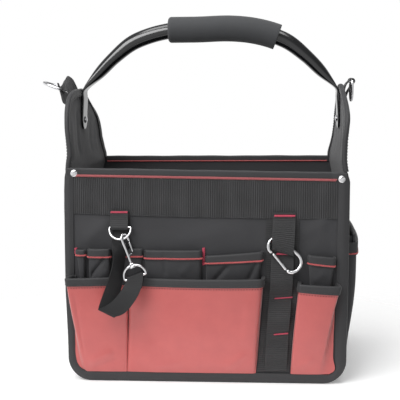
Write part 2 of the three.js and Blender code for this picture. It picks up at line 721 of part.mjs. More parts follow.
// Tool strip
piece('daisy_base_strip', plate(DAISY_BASE.outline, GAP, GAP + DAISY_BASE.thick), COLOURS.blackTape);
const daisyStations = DAISY_ROWS.map(({ x, w, z, tilt }) => ({
  centre: onFront(x, w, z),
  width: new THREE.Vector3(DAISY_HALF, 0, tilt).normalize(),
  half: DAISY_HALF,
}));
piece('daisy_webbing', ribbon(daisyStations, WEBBING), COLOURS.blackTape);

// Carabiner
const [carabinerStart, carabinerEnd] = CARABINER_TOP;
const carabinerAlong = new THREE.Vector2(...carabinerEnd)
  .sub(new THREE.Vector2(...carabinerStart))
  .normalize();
const carabinerPoint = ([x, z]) => {
  const below = carabinerAlong.y * (x - carabinerStart[0]) - carabinerAlong.x * (z - carabinerStart[1]);
  return onFront(x, CARABINER_DEPTH + CARABINER_LEAN * below, z);
};
const frontAxis = new THREE.Vector3(0, 1, 0);
const carabinerWire = (points, radius) => (
  wire(points.map(carabinerPoint), frontAxis, radius, WIRE_SIDES, false)
);
piece('carabiner_frame', carabinerWire(CARABINER_FRAME, CARABINER_WIRE), COLOURS.chrome);
piece('carabiner_gate', carabinerWire(CARABINER_GATE, CARABINER_GATE_WIRE), COLOURS.chrome);

// Hook group
const ringTabLine = RING_TAB_ROWS.map(({ w, z }) => [w, z]);
const ringTabOutline = tapeOutline(ringTabLine, WEBBING);
const ringTabRings = [-1, 1].map((side) => (
  ringTabOutline.map(([w, z]) => onFront(RING_TAB.x + side * RING_TAB.half, w, z))
));
piece('hook_ring_tab', loft(ringTabRings, 'strip'), COLOURS.blackTape);

// D ring: a straight bar and a round bow, from the bar's middle towards the bow's foot
const BOW_STEPS = 12;
const BOW_FULLNESS = 0.8;
function dRing(middle, alongBar, half, bow, radius) {
  const points = Array.from({ length: BOW_STEPS + 1 }, (_, i) => {
    const turn = (Math.PI * i) / BOW_STEPS;
    return middle.clone()
      .addScaledVector(alongBar, half * Math.cos(turn))
      .addScaledVector(bow, Math.sin(turn) ** BOW_FULLNESS);
  });
  const across = alongBar.clone().cross(bow).normalize();
  return wire(points, across, radius, WIRE_SIDES, true);
}

const hookRingBar = onFront(HOOK_RING.x, HOOK_RING.w, HOOK_RING.z);
const hookRingFoot = onFront(HOOK_RING.x, ...HOOK_RING.foot);
const hookRingBow = hookRingFoot.sub(hookRingBar);
const xAxis = new THREE.Vector3(1, 0, 0);
piece('hook_d_ring', dRing(hookRingBar, xAxis, HOOK_RING.half, hookRingBow, HOOK_RING.wire), COLOURS.chrome);

const frontVector = ({ x, w, z }) => new THREE.Vector3(x, -w, z).normalize();
const hookOrigin = onFront(HOOK_ORIGIN.x, HOOK_ORIGIN.w, HOOK_ORIGIN.z);
const hookAxis = frontVector(HOOK_AXIS);
const hookSide = frontVector(HOOK_SIDE);
const hookPoint = ([c, a]) => hookOrigin.clone().addScaledVector(hookSide, c).addScaledVector(hookAxis, a);
const hookNormal = hookSide.clone().cross(hookAxis).normalize();

const hookWire = (points, radius) => wire(points.map(hookPoint), hookNormal, radius, WIRE_SIDES, false);

function snapHook() {
  const bend = Array.from({ length: HOOK.bendSteps + 1 }, (_, i) => {
    const turn = Math.PI * (1 - i / HOOK.bendSteps);
    return [HOOK.bend + HOOK.bend * Math.cos(turn), HOOK.bendAt + HOOK.bend * Math.sin(turn)];
  });
  const body = [[0, GAP], [0, HOOK.bendAt / 2], ...bend, [2 * HOOK.bend, HOOK.noseAt]];
  const [lugFoot, lugTip] = HOOK.lug;
  const lug = [[0, lugFoot], lugTip];
  return join(hookWire(body, HOOK.wire), hookWire(lug, HOOK.wire));
}
piece('snap_hook', snapHook(), COLOURS.chrome);

piece('snap_hook_gate', hookWire([HOOK_GATE.foot, HOOK_GATE.tip], HOOK_GATE.wire), COLOURS.chrome);

function swivelRing() {
  const middle = onFront(HALF_RING.x, HALF_RING.w, HALF_RING.z);
  const alongBar = new THREE.Vector3(Math.cos(HALF_RING.slant), 0, Math.sin(HALF_RING.slant));
  const bow = new THREE.Vector3(-alongBar.z, 0, alongBar.x).multiplyScalar(HALF_RING.rise);
  const barrel = [[0, -SWIVEL.length], [SWIVEL.radius, -SWIVEL.length], [SWIVEL.radius, -GAP], [0, -GAP]];
  return join(
    dRing(middle, alongBar, HALF_RING.half, bow, HALF_RING.wire),
    turned(barrel, hookOrigin, hookAxis, SWIVEL.sides),
  );
}
piece('swivel_half_ring', swivelRing(), COLOURS.chrome);

const strapStations = STRAP_ROWS.map(({ x, w, z, slant, turn }) => {
  const [s, t] = [radians(slant), radians(turn)];
  const width = new THREE.Vector3(Math.cos(s) * Math.cos(t), Math.sin(t), Math.sin(s) * Math.cos(t));
  return { centre: onFront(x, w, z), width, half: STRAP_HALF };
});
piece('tape_strap', ribbon(strapStations, WEBBING), COLOURS.blackTape);

// Handle tube, flattened where it is riveted to the tabs
function handleStations() {
  const right = [...HANDLE_ROWS];
  const left = HANDLE_ROWS.slice(0, -1).reverse().map((row) => ({ ...row, x: -row.x }));
  const rows = [...right, ...left].reverse();
  return rows.map((row, i) => {
    const before = rows[Math.max(i - 1, 0)];
    const after = rows[Math.min(i + 1, rows.length - 1)];
    const along = new THREE.Vector3(after.x - before.x, 0, after.z - before.z).normalize();
    return { ...row, out: new THREE.Vector3(-along.z, 0, along.x) };
  });
}

const power = (value, exponent) => Math.sign(value) * Math.abs(value) ** exponent;
function handleTube() {
  const rings = handleStations().map(({ x, z, thick, wide, square, out }) => (
    Array.from({ length: TUBE_SIDES }, (_, k) => {
      const turn = (2 * Math.PI * (k + 0.5)) / TUBE_SIDES;
      return new THREE.Vector3(x, (wide / 2) * power(Math.sin(turn), square), z)
        .addScaledVector(out, (thick / 2) * power(Math.cos(turn), square));
    })
  ));
  return loft(rings, 'fan');
}
const bothHoles = (body) => cut(cut(body, rivetHole(-1)), rivetHole(1));
piece('handle_tube', bothHoles(handleTube()), COLOURS.blackSteel);

// Foam grip round the top of the tube, its bore following the tube's bend
function gripPoint(x) {
  const rows = handleStations();
  const next = rows.findIndex((row) => row.x >= x);
  const [a, b] = [rows[next - 1], rows[next]];
  const share = (x - a.x) / (b.x - a.x);
  return {
    centre: new THREE.Vector3(x, 0, mix(a.z, b.z, share)),
    out: a.out.clone().lerp(b.out, share).normalize(),
  };
}

function handleGrip() {
  const inner = [GRIP.from, ...HANDLE_ROWS.flatMap(({ x }) => [x, -x]), GRIP.to]
    .filter((x) => x >= GRIP.from && x <= GRIP.to)
    .sort((a, b) => a - b)
    .filter((x, i, all) => i === 0 || x - all[i - 1] > 1);
  const outer = [
    [GRIP.from, GRIP.radius - GRIP.edge], [GRIP.from + GRIP.edge, GRIP.radius],
    ...inner.slice(1, -1).map((x) => [x, GRIP.radius]),
    [GRIP.to - GRIP.edge, GRIP.radius], [GRIP.to, GRIP.radius - GRIP.edge],
  ].sort((a, b) => a[0] - b[0]);
  const section = [...outer, ...inner.map((x) => [x, GRIP.bore]).reverse()];
  const rings = Array.from({ length: TUBE_SIDES }, (_, k) => {
    const turn = (2 * Math.PI * (k + 0.5)) / TUBE_SIDES;
    return section.map(([x, radius]) => {
      const { centre, out } = gripPoint(x);
      return centre.addScaledVector(out, radius * Math.cos(turn)).setY(radius * Math.sin(turn));
    });
  });
  return loft(rings, 'loop');
}
piece('handle_grip', handleGrip(), COLOURS.grip);

// Rivets
for (const [side, sign] of [['left', -1], ['right', 1]]) {
  const { head, shank, dome, sides } = HANDLE_RIVET;
  const inner = STRIP_X - HANDLE_ROWS[0].thick / 2 - GAP;
  const outer = HALF_WIDTH + GAP;
  const profile = [
    [0, inner - dome], [head * 0.7, inner - dome * 0.7], [head, inner], [shank, inner],
    [shank, outer], [head, outer], [head * 0.7, outer + dome * 0.5], [0, outer + dome * 0.7],
  ];
  const centre = new THREE.Vector3(0, 0, HANDLE_RIVET_Z);
  const outwards = new THREE.Vector3(sign, 0, 0);
  piece(`handle_rivet_${side}`, turned(profile, centre, outwards, sides), COLOURS.chrome);
}

for (const side of ['left', 'right']) {
  const { head, dome, sides } = CORNER_RIVET;
  const [x, z] = CORNER_RIVET[side];
  const profile = [[0, 0], [head, 0], [head * 0.92, dome * 0.5], [head * 0.6, dome * 0.87], [0, dome]];
  const centre = onFront(x, GAP + TAPE + GAP, z);
  const outwards = new THREE.Vector3(0, -1, 0);
  piece(`corner_rivet_${side}`, turned(profile, centre, outwards, sides), COLOURS.chrome);
}

// Shoulder strap loops and D rings
const SLEEVE_STEPS = 6;
for (const [side, sign] of [['left', -1], ['right', 1]]) {
  const { bar, ringTilt, sleeve, back, front } = STRAP_POINTS[side];
  const round = Array.from({ length: SLEEVE_STEPS + 1 }, (_, i) => {
    const turn = radians(mix(...sleeve, i / SLEEVE_STEPS));
    return [bar[0] + RING_SLEEVE * Math.cos(turn), bar[1] + RING_SLEEVE * Math.sin(turn)];
  });
  const outline = tapeOutline([...back, ...round, ...front], WEBBING);
  const rings = [-STRAP_LOOP_HALF, STRAP_LOOP_HALF].map((y) => (
    outline.map(([x, z]) => new THREE.Vector3(sign * x, y, z))
  ));
  piece(`strap_loop_${side}`, loft(rings, 'strip'), COLOURS.blackTape);
  const middle = new THREE.Vector3(sign * bar[0], 0, bar[1]);
  const tilt = radians(ringTilt);
  const bow = new THREE.Vector3(sign * Math.cos(tilt), 0, Math.sin(tilt)).multiplyScalar(STRAP_RING.reach);
  const yAxis = new THREE.Vector3(0, 1, 0);
  piece(`strap_ring_${side}`, dRing(middle, yAxis, STRAP_RING.half, bow, STRAP_RING.wire), COLOURS.chrome);
}

export default tote;
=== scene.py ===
import math

import bpy
import numpy as np
from mathutils import Matrix, Vector


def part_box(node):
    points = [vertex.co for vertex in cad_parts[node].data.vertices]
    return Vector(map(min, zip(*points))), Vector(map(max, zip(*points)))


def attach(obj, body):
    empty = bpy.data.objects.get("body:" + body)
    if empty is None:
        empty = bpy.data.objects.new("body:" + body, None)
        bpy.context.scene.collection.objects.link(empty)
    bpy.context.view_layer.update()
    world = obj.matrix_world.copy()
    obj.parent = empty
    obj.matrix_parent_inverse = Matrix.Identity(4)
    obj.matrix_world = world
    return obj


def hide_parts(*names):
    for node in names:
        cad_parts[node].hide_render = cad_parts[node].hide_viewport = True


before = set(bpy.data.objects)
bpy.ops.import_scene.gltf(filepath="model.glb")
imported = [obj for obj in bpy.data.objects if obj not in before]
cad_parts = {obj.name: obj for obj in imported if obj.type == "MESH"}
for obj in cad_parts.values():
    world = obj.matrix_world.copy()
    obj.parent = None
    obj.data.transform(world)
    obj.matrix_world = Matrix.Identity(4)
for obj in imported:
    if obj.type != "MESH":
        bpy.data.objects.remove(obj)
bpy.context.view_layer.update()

mm = 0.001
bag = {  # the body's outer faces, mm, read from the frame
    "halfWidth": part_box("front_panel")[1].x / mm,
    "halfDepth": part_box("back_panel")[1].y / mm,
    "rimZ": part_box("back_panel")[1].z / mm,
    "baseZ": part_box("front_panel")[0].z / mm,
    "rimFall": 3,        # the front rim drops from left to right
    "backDrop": 1.2,     # the back rim lies a little lower
    "cornerRadius": 27,
    "panel": 2,
    "side": 2.5,
    "gap": 0.3,
    "tape": 1.2,
    "webbing": 1.4,
    "cloth": 1.2,
}

# Camera at the photograph's angle
photoCamera = {  # mm and degrees
    "place": (75.04, -1191.98, 366.04), "yaw": 4.244, "pitch": 7.662, "roll": -0.4986,
    "lens": 85, "sensor": 36,
}


def addCamera(spec):
    yaw, pitch, roll = (math.radians(spec[key]) for key in ("yaw", "pitch", "roll"))
    ahead = Vector((-math.sin(yaw) * math.cos(pitch), math.cos(yaw) * math.cos(pitch), -math.sin(pitch)))
    right = Vector((math.cos(yaw), math.sin(yaw), 0))
    up = right.cross(ahead)
    rolledRight = right * math.cos(roll) + up * math.sin(roll)
    rolledUp = up * math.cos(roll) - right * math.sin(roll)
    bpy.ops.object.camera_add()
    camera = bpy.context.object
    turn = Matrix((rolledRight, rolledUp, -ahead)).transposed()
    camera.matrix_world = Matrix.Translation(Vector(spec["place"]) * mm) @ turn.to_4x4()
    camera.data.lens = spec["lens"]
    camera.data.sensor_width = spec["sensor"]
    bpy.context.scene.camera = camera


addCamera(photoCamera)
print("camera placed")


# Materials

def linear(hexCode):
    parts = [int(hexCode[i:i + 2], 16) / 255 for i in (1, 3, 5)]
    return (*[p / 12.92 if p <= 0.04045 else ((p + 0.055) / 1.055) ** 2.4 for p in parts], 1)


def addNode(tree, kind, settings=None, links=None):
    node = tree.nodes.new(kind)
    for key, value in (settings or {}).items():
        if isinstance(key, str) and hasattr(node, key):
            setattr(node, key, value)
        else:
            node.inputs[key].default_value = value
    for key, source in (links or {}).items():
        tree.links.new(source, node.inputs[key])
    return node


def newMaterial(name, settings):
    material = bpy.data.materials.new(name)
    material.use_nodes = True
    shader = material.node_tree.nodes["Principled BSDF"]
    for key, value in settings.items():
        shader.inputs[key].default_value = value
    return material, material.node_tree, shader


def waveScale(pitch):  # a band texture repeats every 2 pi / 20 at scale 1
    return 2 * math.pi / 20 / pitch


def objectPlace(tree):
    return addNode(tree, "ShaderNodeTexCoord").outputs["Object"]


def noiseAt(tree, place, size, detail):  # size in mm
    settings = {"Scale": 1 / (size * mm), "Detail": detail}
    return addNode(tree, "ShaderNodeTexNoise", settings, {"Vector": place}).outputs["Fac"]


def mixedTint(tree, share, dark, light):
    settings = {"data_type": "RGBA", 6: linear(dark), 7: linear(light)}
    return addNode(tree, "ShaderNodeMix", settings, {0: share}).outputs[2]


def darkened(tree, colour, pattern, depth):
    settings = {"data_type": "RGBA", "blend_type": "MULTIPLY", 0: depth}
    return addNode(tree, "ShaderNodeMix", settings, {6: colour, 7: pattern}).outputs[2]


def setRoughness(tree, shader, value, least, most):
    spread = addNode(tree, "ShaderNodeMapRange", {"To Min": least, "To Max": most}, {"Value": value})
    tree.links.new(spread.outputs["Result"], shader.inputs["Roughness"])


def setBump(tree, shader, height, strength, deep):  # deep in mm
    bump = addNode(tree, "ShaderNodeBump", {"Strength": strength, "Distance": deep * mm}, {"Height": height})
    tree.links.new(bump.outputs["Normal"], shader.inputs["Normal"])


# Plain weave on the cloth's own millimetre UV map: warp on top in one cell, weft in the next.
# Threads are drawn coarser than real ones, so that the weave shows.
def clothMaterial(name, look):
    material, tree, shader = newMaterial(name, look["shader"])
    uv = addNode(tree, "ShaderNodeUVMap", {"uv_map": "weave"}).outputs["UV"]

    def bands(direction, pitch, **unevenness):
        settings = {"bands_direction": direction, "Scale": waveScale(pitch), "Distortion": 0.0, **unevenness}
        return addNode(tree, "ShaderNodeTexWave", settings, {"Vector": uv}).outputs

    thread = look["thread"]
    warp, weft = (bands(direction, thread)["Fac"] for direction in "XY")
    cells = addNode(tree, "ShaderNodeTexChecker", {"Scale": 1 / thread}, {"Vector": uv}).outputs["Fac"]
    weave = addNode(tree, "ShaderNodeMix", {"data_type": "FLOAT"}, {0: cells, 2: warp, 3: weft}).outputs[0]
    broad = addNode(tree, "ShaderNodeTexNoise", {
        "Scale": 1 / look["patch"], "Detail": 4.0, "Roughness": 0.6}, {"Vector": uv}).outputs["Fac"]
    colour = darkened(tree, mixedTint(tree, broad, look["dark"], look["light"]), weave, look["grooves"])
    # painted shade: the colour darkens in the grooves between the ribs
    if "ribs" in look:
        across, pitch, depth = look["ribs"]
        colour = darkened(tree, colour, bands(across, pitch, Distortion=0.6, Detail=1.0)["Color"], depth)
    tree.links.new(colour, shader.inputs["Base Color"])
    setRoughness(tree, shader, broad, *look["rough"])
    setBump(tree, shader, weave, look["relief"], thread * 0.25)
    return material


# polyurethane-coated 600 denier polyester: matt charcoal, a dry grazing sheen
blackPolyester = clothMaterial("blackPolyester", {
    "thread": 0.7, "patch": 45, "dark": "#2d2d2f", "light": "#3a3a3d", "grooves": 0.25,
    "rough": (0.62, 0.8), "relief": 0.35,
    "shader": {"IOR": 1.48, "Sheen Weight": 0.12, "Sheen Roughness": 0.5},
})

# PVC-coated red polyester: deep red in the folds, a broad pale gloss where it faces the light
redCoatedCloth = clothMaterial("redCoatedCloth", {
    "thread": 0.8, "patch": 24, "dark": "#a82f2d", "light": "#bd4742", "grooves": 0.06,
    "rough": (0.42, 0.56), "relief": 0.12,
    "shader": {"IOR": 1.55, "Coat Weight": 1.0, "Coat Roughness": 0.45, "Coat IOR": 1.6,
               "Sheen Weight": 0.3, "Sheen Roughness": 0.5},
})

# woven polypropylene binding: a fine close weave, a little glossier than the cloth
blackBinding = clothMaterial("blackBinding", {
    "thread": 0.55, "patch": 30, "dark": "#29292b", "light": "#363638", "grooves": 0.3,
    "rough": (0.5, 0.66), "relief": 0.4,
    "shader": {"IOR": 1.49, "Sheen Weight": 0.1, "Sheen Roughness": 0.4},
})

# woven polypropylene webbing: thick yarns, painted shade in the grooves between the cross ribs, drawn coarser
# than the real 1.3 mm so that they show at the picture's size
blackWebbing = clothMaterial("blackWebbing", {
    "thread": 0.9, "patch": 25, "dark": "#262627", "light": "#3a3a3c", "grooves": 0.3,
    "ribs": ("Y", 2.6, 0.55), "rough": (0.5, 0.7), "relief": 0.6,
    "shader": {"IOR": 1.49, "Sheen Weight": 0.1, "Sheen Roughness": 0.4},
})

# the same webbing in the wide band, whose ribs stand upright
blackBandWebbing = clothMaterial("blackBandWebbing", {
    "thread": 1.3, "patch": 25, "dark": "#29292a", "light": "#434345", "grooves": 0.4,
    "ribs": ("X", 2.6, 0.45), "rough": (0.5, 0.7), "relief": 0.6,
    "shader": {"IOR": 1.49, "Sheen Weight": 0.1, "Sheen Roughness": 0.4},
})

# close nylon tape of the hook's strap: blacker and smoother than the webbing, with painted shade between its
# ribs
blackNylonTape = clothMaterial("blackNylonTape", {
    "thread": 0.6, "patch": 18, "dark": "#161618", "light": "#222224", "grooves": 0.3,
    "ribs": ("Y", 2.2, 0.4), "rough": (0.5, 0.65), "relief": 0.4,
    "shader": {"IOR": 1.42, "Sheen Weight": 0.0, "Sheen Roughness": 0.4},
})


# spun polyester sewing thread: soft gloss, small changes of tone from stitch to stitch
def threadMaterial(name, dark, light):
    material, tree, shader = newMaterial(name, {"IOR": 1.5, "Roughness": 0.5, "Sheen Weight": 0.2})
    tone = noiseAt(tree, objectPlace(tree), 1.5, 2.0)
    tree.links.new(mixedTint(tree, tone, dark, light), shader.inputs["Base Color"])
    return material


redThread = threadMaterial("redThread", "#a33a3e", "#cb5f60")
# real stitches drawn darker than their thread: painted shade of the sunk needle holes
shadedRedThread = threadMaterial("shadedRedThread", "#6e2026", "#8c3238")
dullRedThread = threadMaterial("dullRedThread", "#8c393d", "#ad5a5c")
crimsonThread = threadMaterial("crimsonThread", "#a52a45", "#c8465f")
blackThread = threadMaterial("blackThread", "#1d1d1e", "#303032")


# powder-coated steel tube: deep gloss black with a faint orange peel
def steelTubeMaterial():
    material, tree, shader = newMaterial("glossBlackSteel", {"Base Color": linear("#0d0e10"), "IOR": 1.7})
    place = objectPlace(tree)
    setRoughness(tree, shader, noiseAt(tree, place, 22, 5.0), 0.1, 0.24)
    setBump(tree, shader, noiseAt(tree, place, 3, 1.0), 0.06, 0.05)
    return material


# closed-cell nitrile foam: matt charcoal skin with fine pores
def foamMaterial():
    material, tree, shader = newMaterial("nitrileFoam", {"IOR": 1.45, "Sheen Weight": 0.15})
    place = objectPlace(tree)
    pores = addNode(tree, "ShaderNodeTexVoronoi", {"Scale": 1 / (0.9 * mm)}, {"Vector": place})
    tone = noiseAt(tree, place, 14, 5.0)
    tree.links.new(mixedTint(tree, tone, "#303133", "#3d3e40"), shader.inputs["Base Color"])
    setRoughness(tree, shader, tone, 0.72, 0.9)
    setBump(tree, shader, pores.outputs["Distance"], 0.35, 0.15)
    return material


# nickel-plated steel wire: bright, with a slight haze and handling scuffs
def nickelMaterial():
    material, tree, shader = newMaterial("nickelPlate", {"Metallic": 1.0, "Base Color": linear("#e2e2e4")})
    place = objectPlace(tree)
    setRoughness(tree, shader, noiseAt(tree, place, 6, 6.0), 0.1, 0.26)
    setBump(tree, shader, noiseAt(tree, place, 0.6, 3.0), 0.05, 0.05)
    return material


glossBlackSteel = steelTubeMaterial()
nitrileFoam = foamMaterial()
nickelPlate = nickelMaterial()
print("materials made")


# Curves through given rows and points

def throughRows(rows, at):
    table = np.array(rows, float)
    keys, values = table[:, 0], table[:, 1:]
    slopes = np.gradient(values, keys, axis=0)
    at = np.atleast_1d(at)
    k = np.clip(np.searchsorted(keys, at, side="right") - 1, 0, len(keys) - 2)
    span = (keys[k + 1] - keys[k])[:, None]
    t = np.clip((at - keys[k])[:, None] / span, 0, 1)
    start = values[k] * (2 * t ** 3 - 3 * t ** 2 + 1) + slopes[k] * span * (t ** 3 - 2 * t ** 2 + t)
    return start + values[k + 1] * (3 * t ** 2 - 2 * t ** 3) + slopes[k + 1] * span * (t ** 3 - t ** 2)


def lengthsAlong(points):
    steps = np.linalg.norm(np.diff(points, axis=0), axis=1)
    return np.concatenate([[0], np.cumsum(steps)])


def valuesAt(distance, along, values):
    return np.column_stack([np.interp(distance, along, column) for column in np.asarray(values).T])


def throughPoints(points, count, finer=12):
    points = np.array(points, float)
    keys = lengthsAlong(points[:, :3])
    dense = throughRows(np.column_stack([keys, points]), np.linspace(0, keys[-1], finer * count))
    along = lengthsAlong(dense[:, :3])
    return valuesAt(np.linspace(0, along[-1], count), along, dense)


def evened(line, times, closed=False):
    for _ in range(times):
        mixed = 0.25 * np.roll(line, 1, 0) + 0.5 * line + 0.25 * np.roll(line, -1, 0)
        if not closed:
            mixed[[0, -1]] = line[[0, -1]]
        line = mixed
    return line


def unit(vectors):
    return vectors / np.linalg.norm(vectors, axis=-1, keepdims=True)


def softStep(t):
    t = np.clip(t, 0, 1)
    return t * t * (3 - 2 * t)


# The soft body does not stand true: x shift of its four upright edges by height, mixed between them
drift = {
    "frontLeft": [(54, 0), (111, -1.4), (171, -0.8), (231, 0.2), (251, 1.4), (264, 0)],
    "frontRight": [(54, -0.4), (102, 0.5), (202, 1.3), (240, 1.5), (256, 0), (264, -0.6), (280, 0)],
    "rearLeft": [(195, 0), (232, 7), (250, 10), (258, 7.5), (266, 4.5), (280, 1), (296, 0)],
    "rearRight": [(195, 0), (232, -4), (250, -6), (258, -5), (266, -3.4), (280, -1.2), (296, 0)],
}


def drifted(x, y, z):
    x, y, z = np.broadcast_arrays(x, y, z)
    at = {edge: np.interp(z, *np.array(rows).T) for edge, rows in drift.items()}
    right = np.clip(0.5 + 0.5 * x / bag["halfWidth"], 0, 1)
    rear = np.clip(0.5 + 0.5 * y / bag["halfDepth"], 0, 1)
    front = at["frontLeft"] * (1 - right) + at["frontRight"] * right
    back = at["rearLeft"] * (1 - right) + at["rearRight"] * right
    return np.stack([x + front * (1 - rear) + back * rear, y, z], -1)


# Places on the four walls: across, out of the wall, up
def onFront(across, out, z):
    return drifted(across, -(bag["halfDepth"] + out), z)


def onBack(across, out, z):
    return drifted(-across, bag["halfDepth"] + out, z)


def onRight(across, out, z):
    return drifted(bag["halfWidth"] + out, across, z)


def onLeft(across, out, z):
    return drifted(-(bag["halfWidth"] + out), -across, z)


def outOf(wall):  # its outward direction
    return wall(0.0, 1.0, 0.0) - wall(0.0, 0.0, 0.0)


# Cloth relief: soft folds along a line and round dents, both out of the wall
def relief(across, z, folds=(), dents=(), endShare=0.25):
    out = np.zeros(np.broadcast(across, z).shape)
    for x0, z0, x1, z1, width, height in folds:
        long = math.hypot(x1 - x0, z1 - z0)
        along = ((across - x0) * (x1 - x0) + (z - z0) * (z1 - z0)) / long
        aside = ((across - x0) * (z1 - z0) - (z - z0) * (x1 - x0)) / long
        ends = softStep(along / (endShare * long)) * softStep((long - along) / (endShare * long))
        out = out + height * np.exp(-(aside / width) ** 2) * ends
    for x0, z0, wide, high, height in dents:
        out = out + height * np.exp(-((across - x0) / wide) ** 2 - ((z - z0) / high) ** 2)
    return out


# Making and finishing pieces
def modify(piece, kind, **settings):
    bpy.context.view_layer.objects.active = piece
    modifier = piece.modifiers.new(kind.lower(), kind)
    for key, value in settings.items():
        setattr(modifier, key, value)
    bpy.ops.object.modifier_apply(modifier=modifier.name)


def inEditMode(piece, steps):
    bpy.ops.object.select_all(action="DESELECT")
    piece.select_set(True)
    bpy.context.view_layer.objects.active = piece
    bpy.ops.object.mode_set(mode="EDIT")
    bpy.ops.mesh.select_all(action="SELECT")
    steps()
    bpy.ops.object.mode_set(mode="OBJECT")


def settle(piece, material, body, nodes, angle=40):
    piece.data.materials.clear()
    piece.data.materials.append(material)
    bpy.ops.object.select_all(action="DESELECT")
    piece.select_set(True)
    bpy.context.view_layer.objects.active = piece
    bpy.ops.object.shade_smooth_by_angle(angle=math.radians(angle))
    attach(piece, body)
    if nodes:
        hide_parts(*nodes)
    return piece


# A grid shaped point by point, mm; its weave UV map is in millimetres along and across the cloth
def shapedGrid(name, points):
    rows, columns = points.shape[0] - 1, points.shape[1] - 1
    bpy.ops.object.select_all(action="DESELECT")
    bpy.ops.mesh.primitive_grid_add(x_subdivisions=columns, y_subdivisions=rows, size=1)
    piece = bpy.context.object
    piece.name = name
    piece.data.name = name
    mesh = piece.data
    flat = np.empty(len(mesh.vertices) * 3)
    mesh.vertices.foreach_get("co", flat)
    flat = flat.reshape(-1, 3)
    i = np.rint((flat[:, 0] + 0.5) * columns).astype(int)
    j = np.rint((flat[:, 1] + 0.5) * rows).astype(int)
    mesh.vertices.foreach_set("co", (points[j, i] * mm).ravel())
    across = np.linalg.norm(np.diff(points, axis=1), axis=2)
    upward = np.linalg.norm(np.diff(points, axis=0), axis=2)
    u = np.concatenate([[0], np.cumsum(across.mean(0))])
    v = np.concatenate([[0], np.cumsum(upward.mean(1))])
    corner = np.empty(len(mesh.loops), int)
    mesh.loops.foreach_get("vertex_index", corner)
    mesh.uv_layers[0].name = "weave"
    mesh.uv_layers[0].data.foreach_set("uv", np.column_stack([u[i], v[j]])[corner].ravel())
    mesh.update()
    size = (across.sum(1).max() * mm, upward.sum(0).max() * mm)
    area = sum(face.area for face in mesh.polygons)
    return piece, size, area


def clothPiece(name, points, look, nodes, thick, offset=0, angle=40):
    piece, size, area = shapedGrid(name, points)
    modify(piece, "SOLIDIFY", thickness=thick * mm, offset=offset, use_even_offset=False)
    material, slotName = look
    settle(piece, material, "bag", nodes, angle)
    return piece


# A closed skin: a grid whose first and last columns meet, its ends filled
def skinPiece(name, points, look, nodes, angle=40, weld=0.00001):
    piece, _, _ = shapedGrid(name, points)

    def close():
        bpy.ops.mesh.remove_doubles(threshold=weld)
        bpy.ops.mesh.fill_holes(sides=0)
        bpy.ops.mesh.normals_make_consistent(inside=False)

    inEditMode(piece, close)
    material, slotName = look
    return settle(piece, material, "bag", nodes, angle)


# Material and slot of each kind of piece
black = (blackPolyester, "black_cloth")
red = (redCoatedCloth, "red_cloth")
binding = (blackBinding, "black_binding")
webbing = (blackWebbing, "black_webbing")
bandWebbing = (blackBandWebbing, "black_webbing")
nylon = (blackNylonTape, "black_webbing")
bright = (nickelPlate, "bright_metal")


# Stitches: each a small lifted capsule from one needle hole to the next, all in one mesh
stitchShape = {
    "steps": (0, 0.12, 0.35, 0.65, 0.88, 1), "girth": (0.35, 0.85, 1, 1, 0.85, 0.35), "sides": 6,
    "lift": 1.1, "sink": 0.5,
}


def sewn(name, starts, ends, outs, thread, material):
    outs = unit(outs)
    along = unit(ends - starts)
    side = unit(np.cross(along, outs))
    steps, girth, sides = stitchShape["steps"], stitchShape["girth"], stitchShape["sides"]
    rings = []
    for share, wide in zip(steps, girth):
        lift = thread * (stitchShape["lift"] * math.sin(math.pi * share) - stitchShape["sink"])
        middle = starts + (ends - starts) * share + outs * lift
        for k in range(sides):
            turn = 2 * math.pi * k / sides
            rings.append(middle + thread * wide * (side * math.cos(turn) + outs * math.sin(turn)))
    points = np.stack(rings, 1).reshape(-1, 3)
    perStitch = len(steps) * sides
    quads = []
    for ring in range(0, perStitch - sides, sides):
        for k in range(sides):
            following = (k + 1) % sides
            quads.append((ring + k, ring + following, ring + sides + following, ring + sides + k))
    caps = [tuple(reversed(range(sides))), tuple(range(perStitch - sides, perStitch))]
    faces = [tuple(n * perStitch + i for i in face) for n in range(len(starts)) for face in quads + caps]
    mesh = bpy.data.meshes.new(name)
    mesh.from_pydata(points * mm, [], faces)
    piece = bpy.data.objects.new(name, mesh)
    bpy.context.scene.collection.objects.link(piece)
    inEditMode(piece, lambda: bpy.ops.mesh.normals_make_consistent(inside=False))
    return settle(piece, material, "bag", (), 60)


# A close zigzag over a line of surface points: the thick sewn lines and the bar tacks
def satin(name, line, outs, upward, height, pitch, thread, lean, material=redThread):
    along = lengthsAlong(line)
    wanted = np.linspace(0, along[-1], max(2, int(along[-1] / pitch)))
    places = valuesAt(wanted, along, line)
    forward = unit(np.gradient(places, axis=0))
    half = np.array(upward, float) * height / 2 + forward * lean * height / 2
    lifts = valuesAt(wanted, along, np.broadcast_to(outs, line.shape))
    return sewn(name, places - half, places + half, lifts, thread, material)


# A running stitch along a line of surface points
def running(name, line, outs, stitch, gap, thread, material=blackThread):
    along = lengthsAlong(line)
    begin = np.arange(0, along[-1] - stitch, stitch + gap)
    starts, ends = (valuesAt(begin + step, along, line) for step in (0, stitch))
    lifts = valuesAt(begin, along, np.broadcast_to(outs, line.shape))
    return sewn(name, starts, ends, lifts, thread, material)


tapeSeam = {"stitch": 2.6, "gap": 1.0, "thread": 0.32}
linePoints, tackPoints = 90, 12
xAxis, yAxis, zAxis = np.eye(3)
facing = -yAxis  # towards the camera's side


# Outline of the body seen from the front
def rimAt(x):
    return bag["rimZ"] - bag["rimFall"] * x / bag["halfWidth"]


def backRimAt(x):
    return np.full_like(x, bag["rimZ"] - bag["backDrop"])


def floorAt(x):
    inside = np.clip(np.abs(x) - (bag["halfWidth"] - bag["cornerRadius"]), 0, bag["cornerRadius"])
    return bag["baseZ"] + bag["cornerRadius"] - np.sqrt(bag["cornerRadius"] ** 2 - inside ** 2)


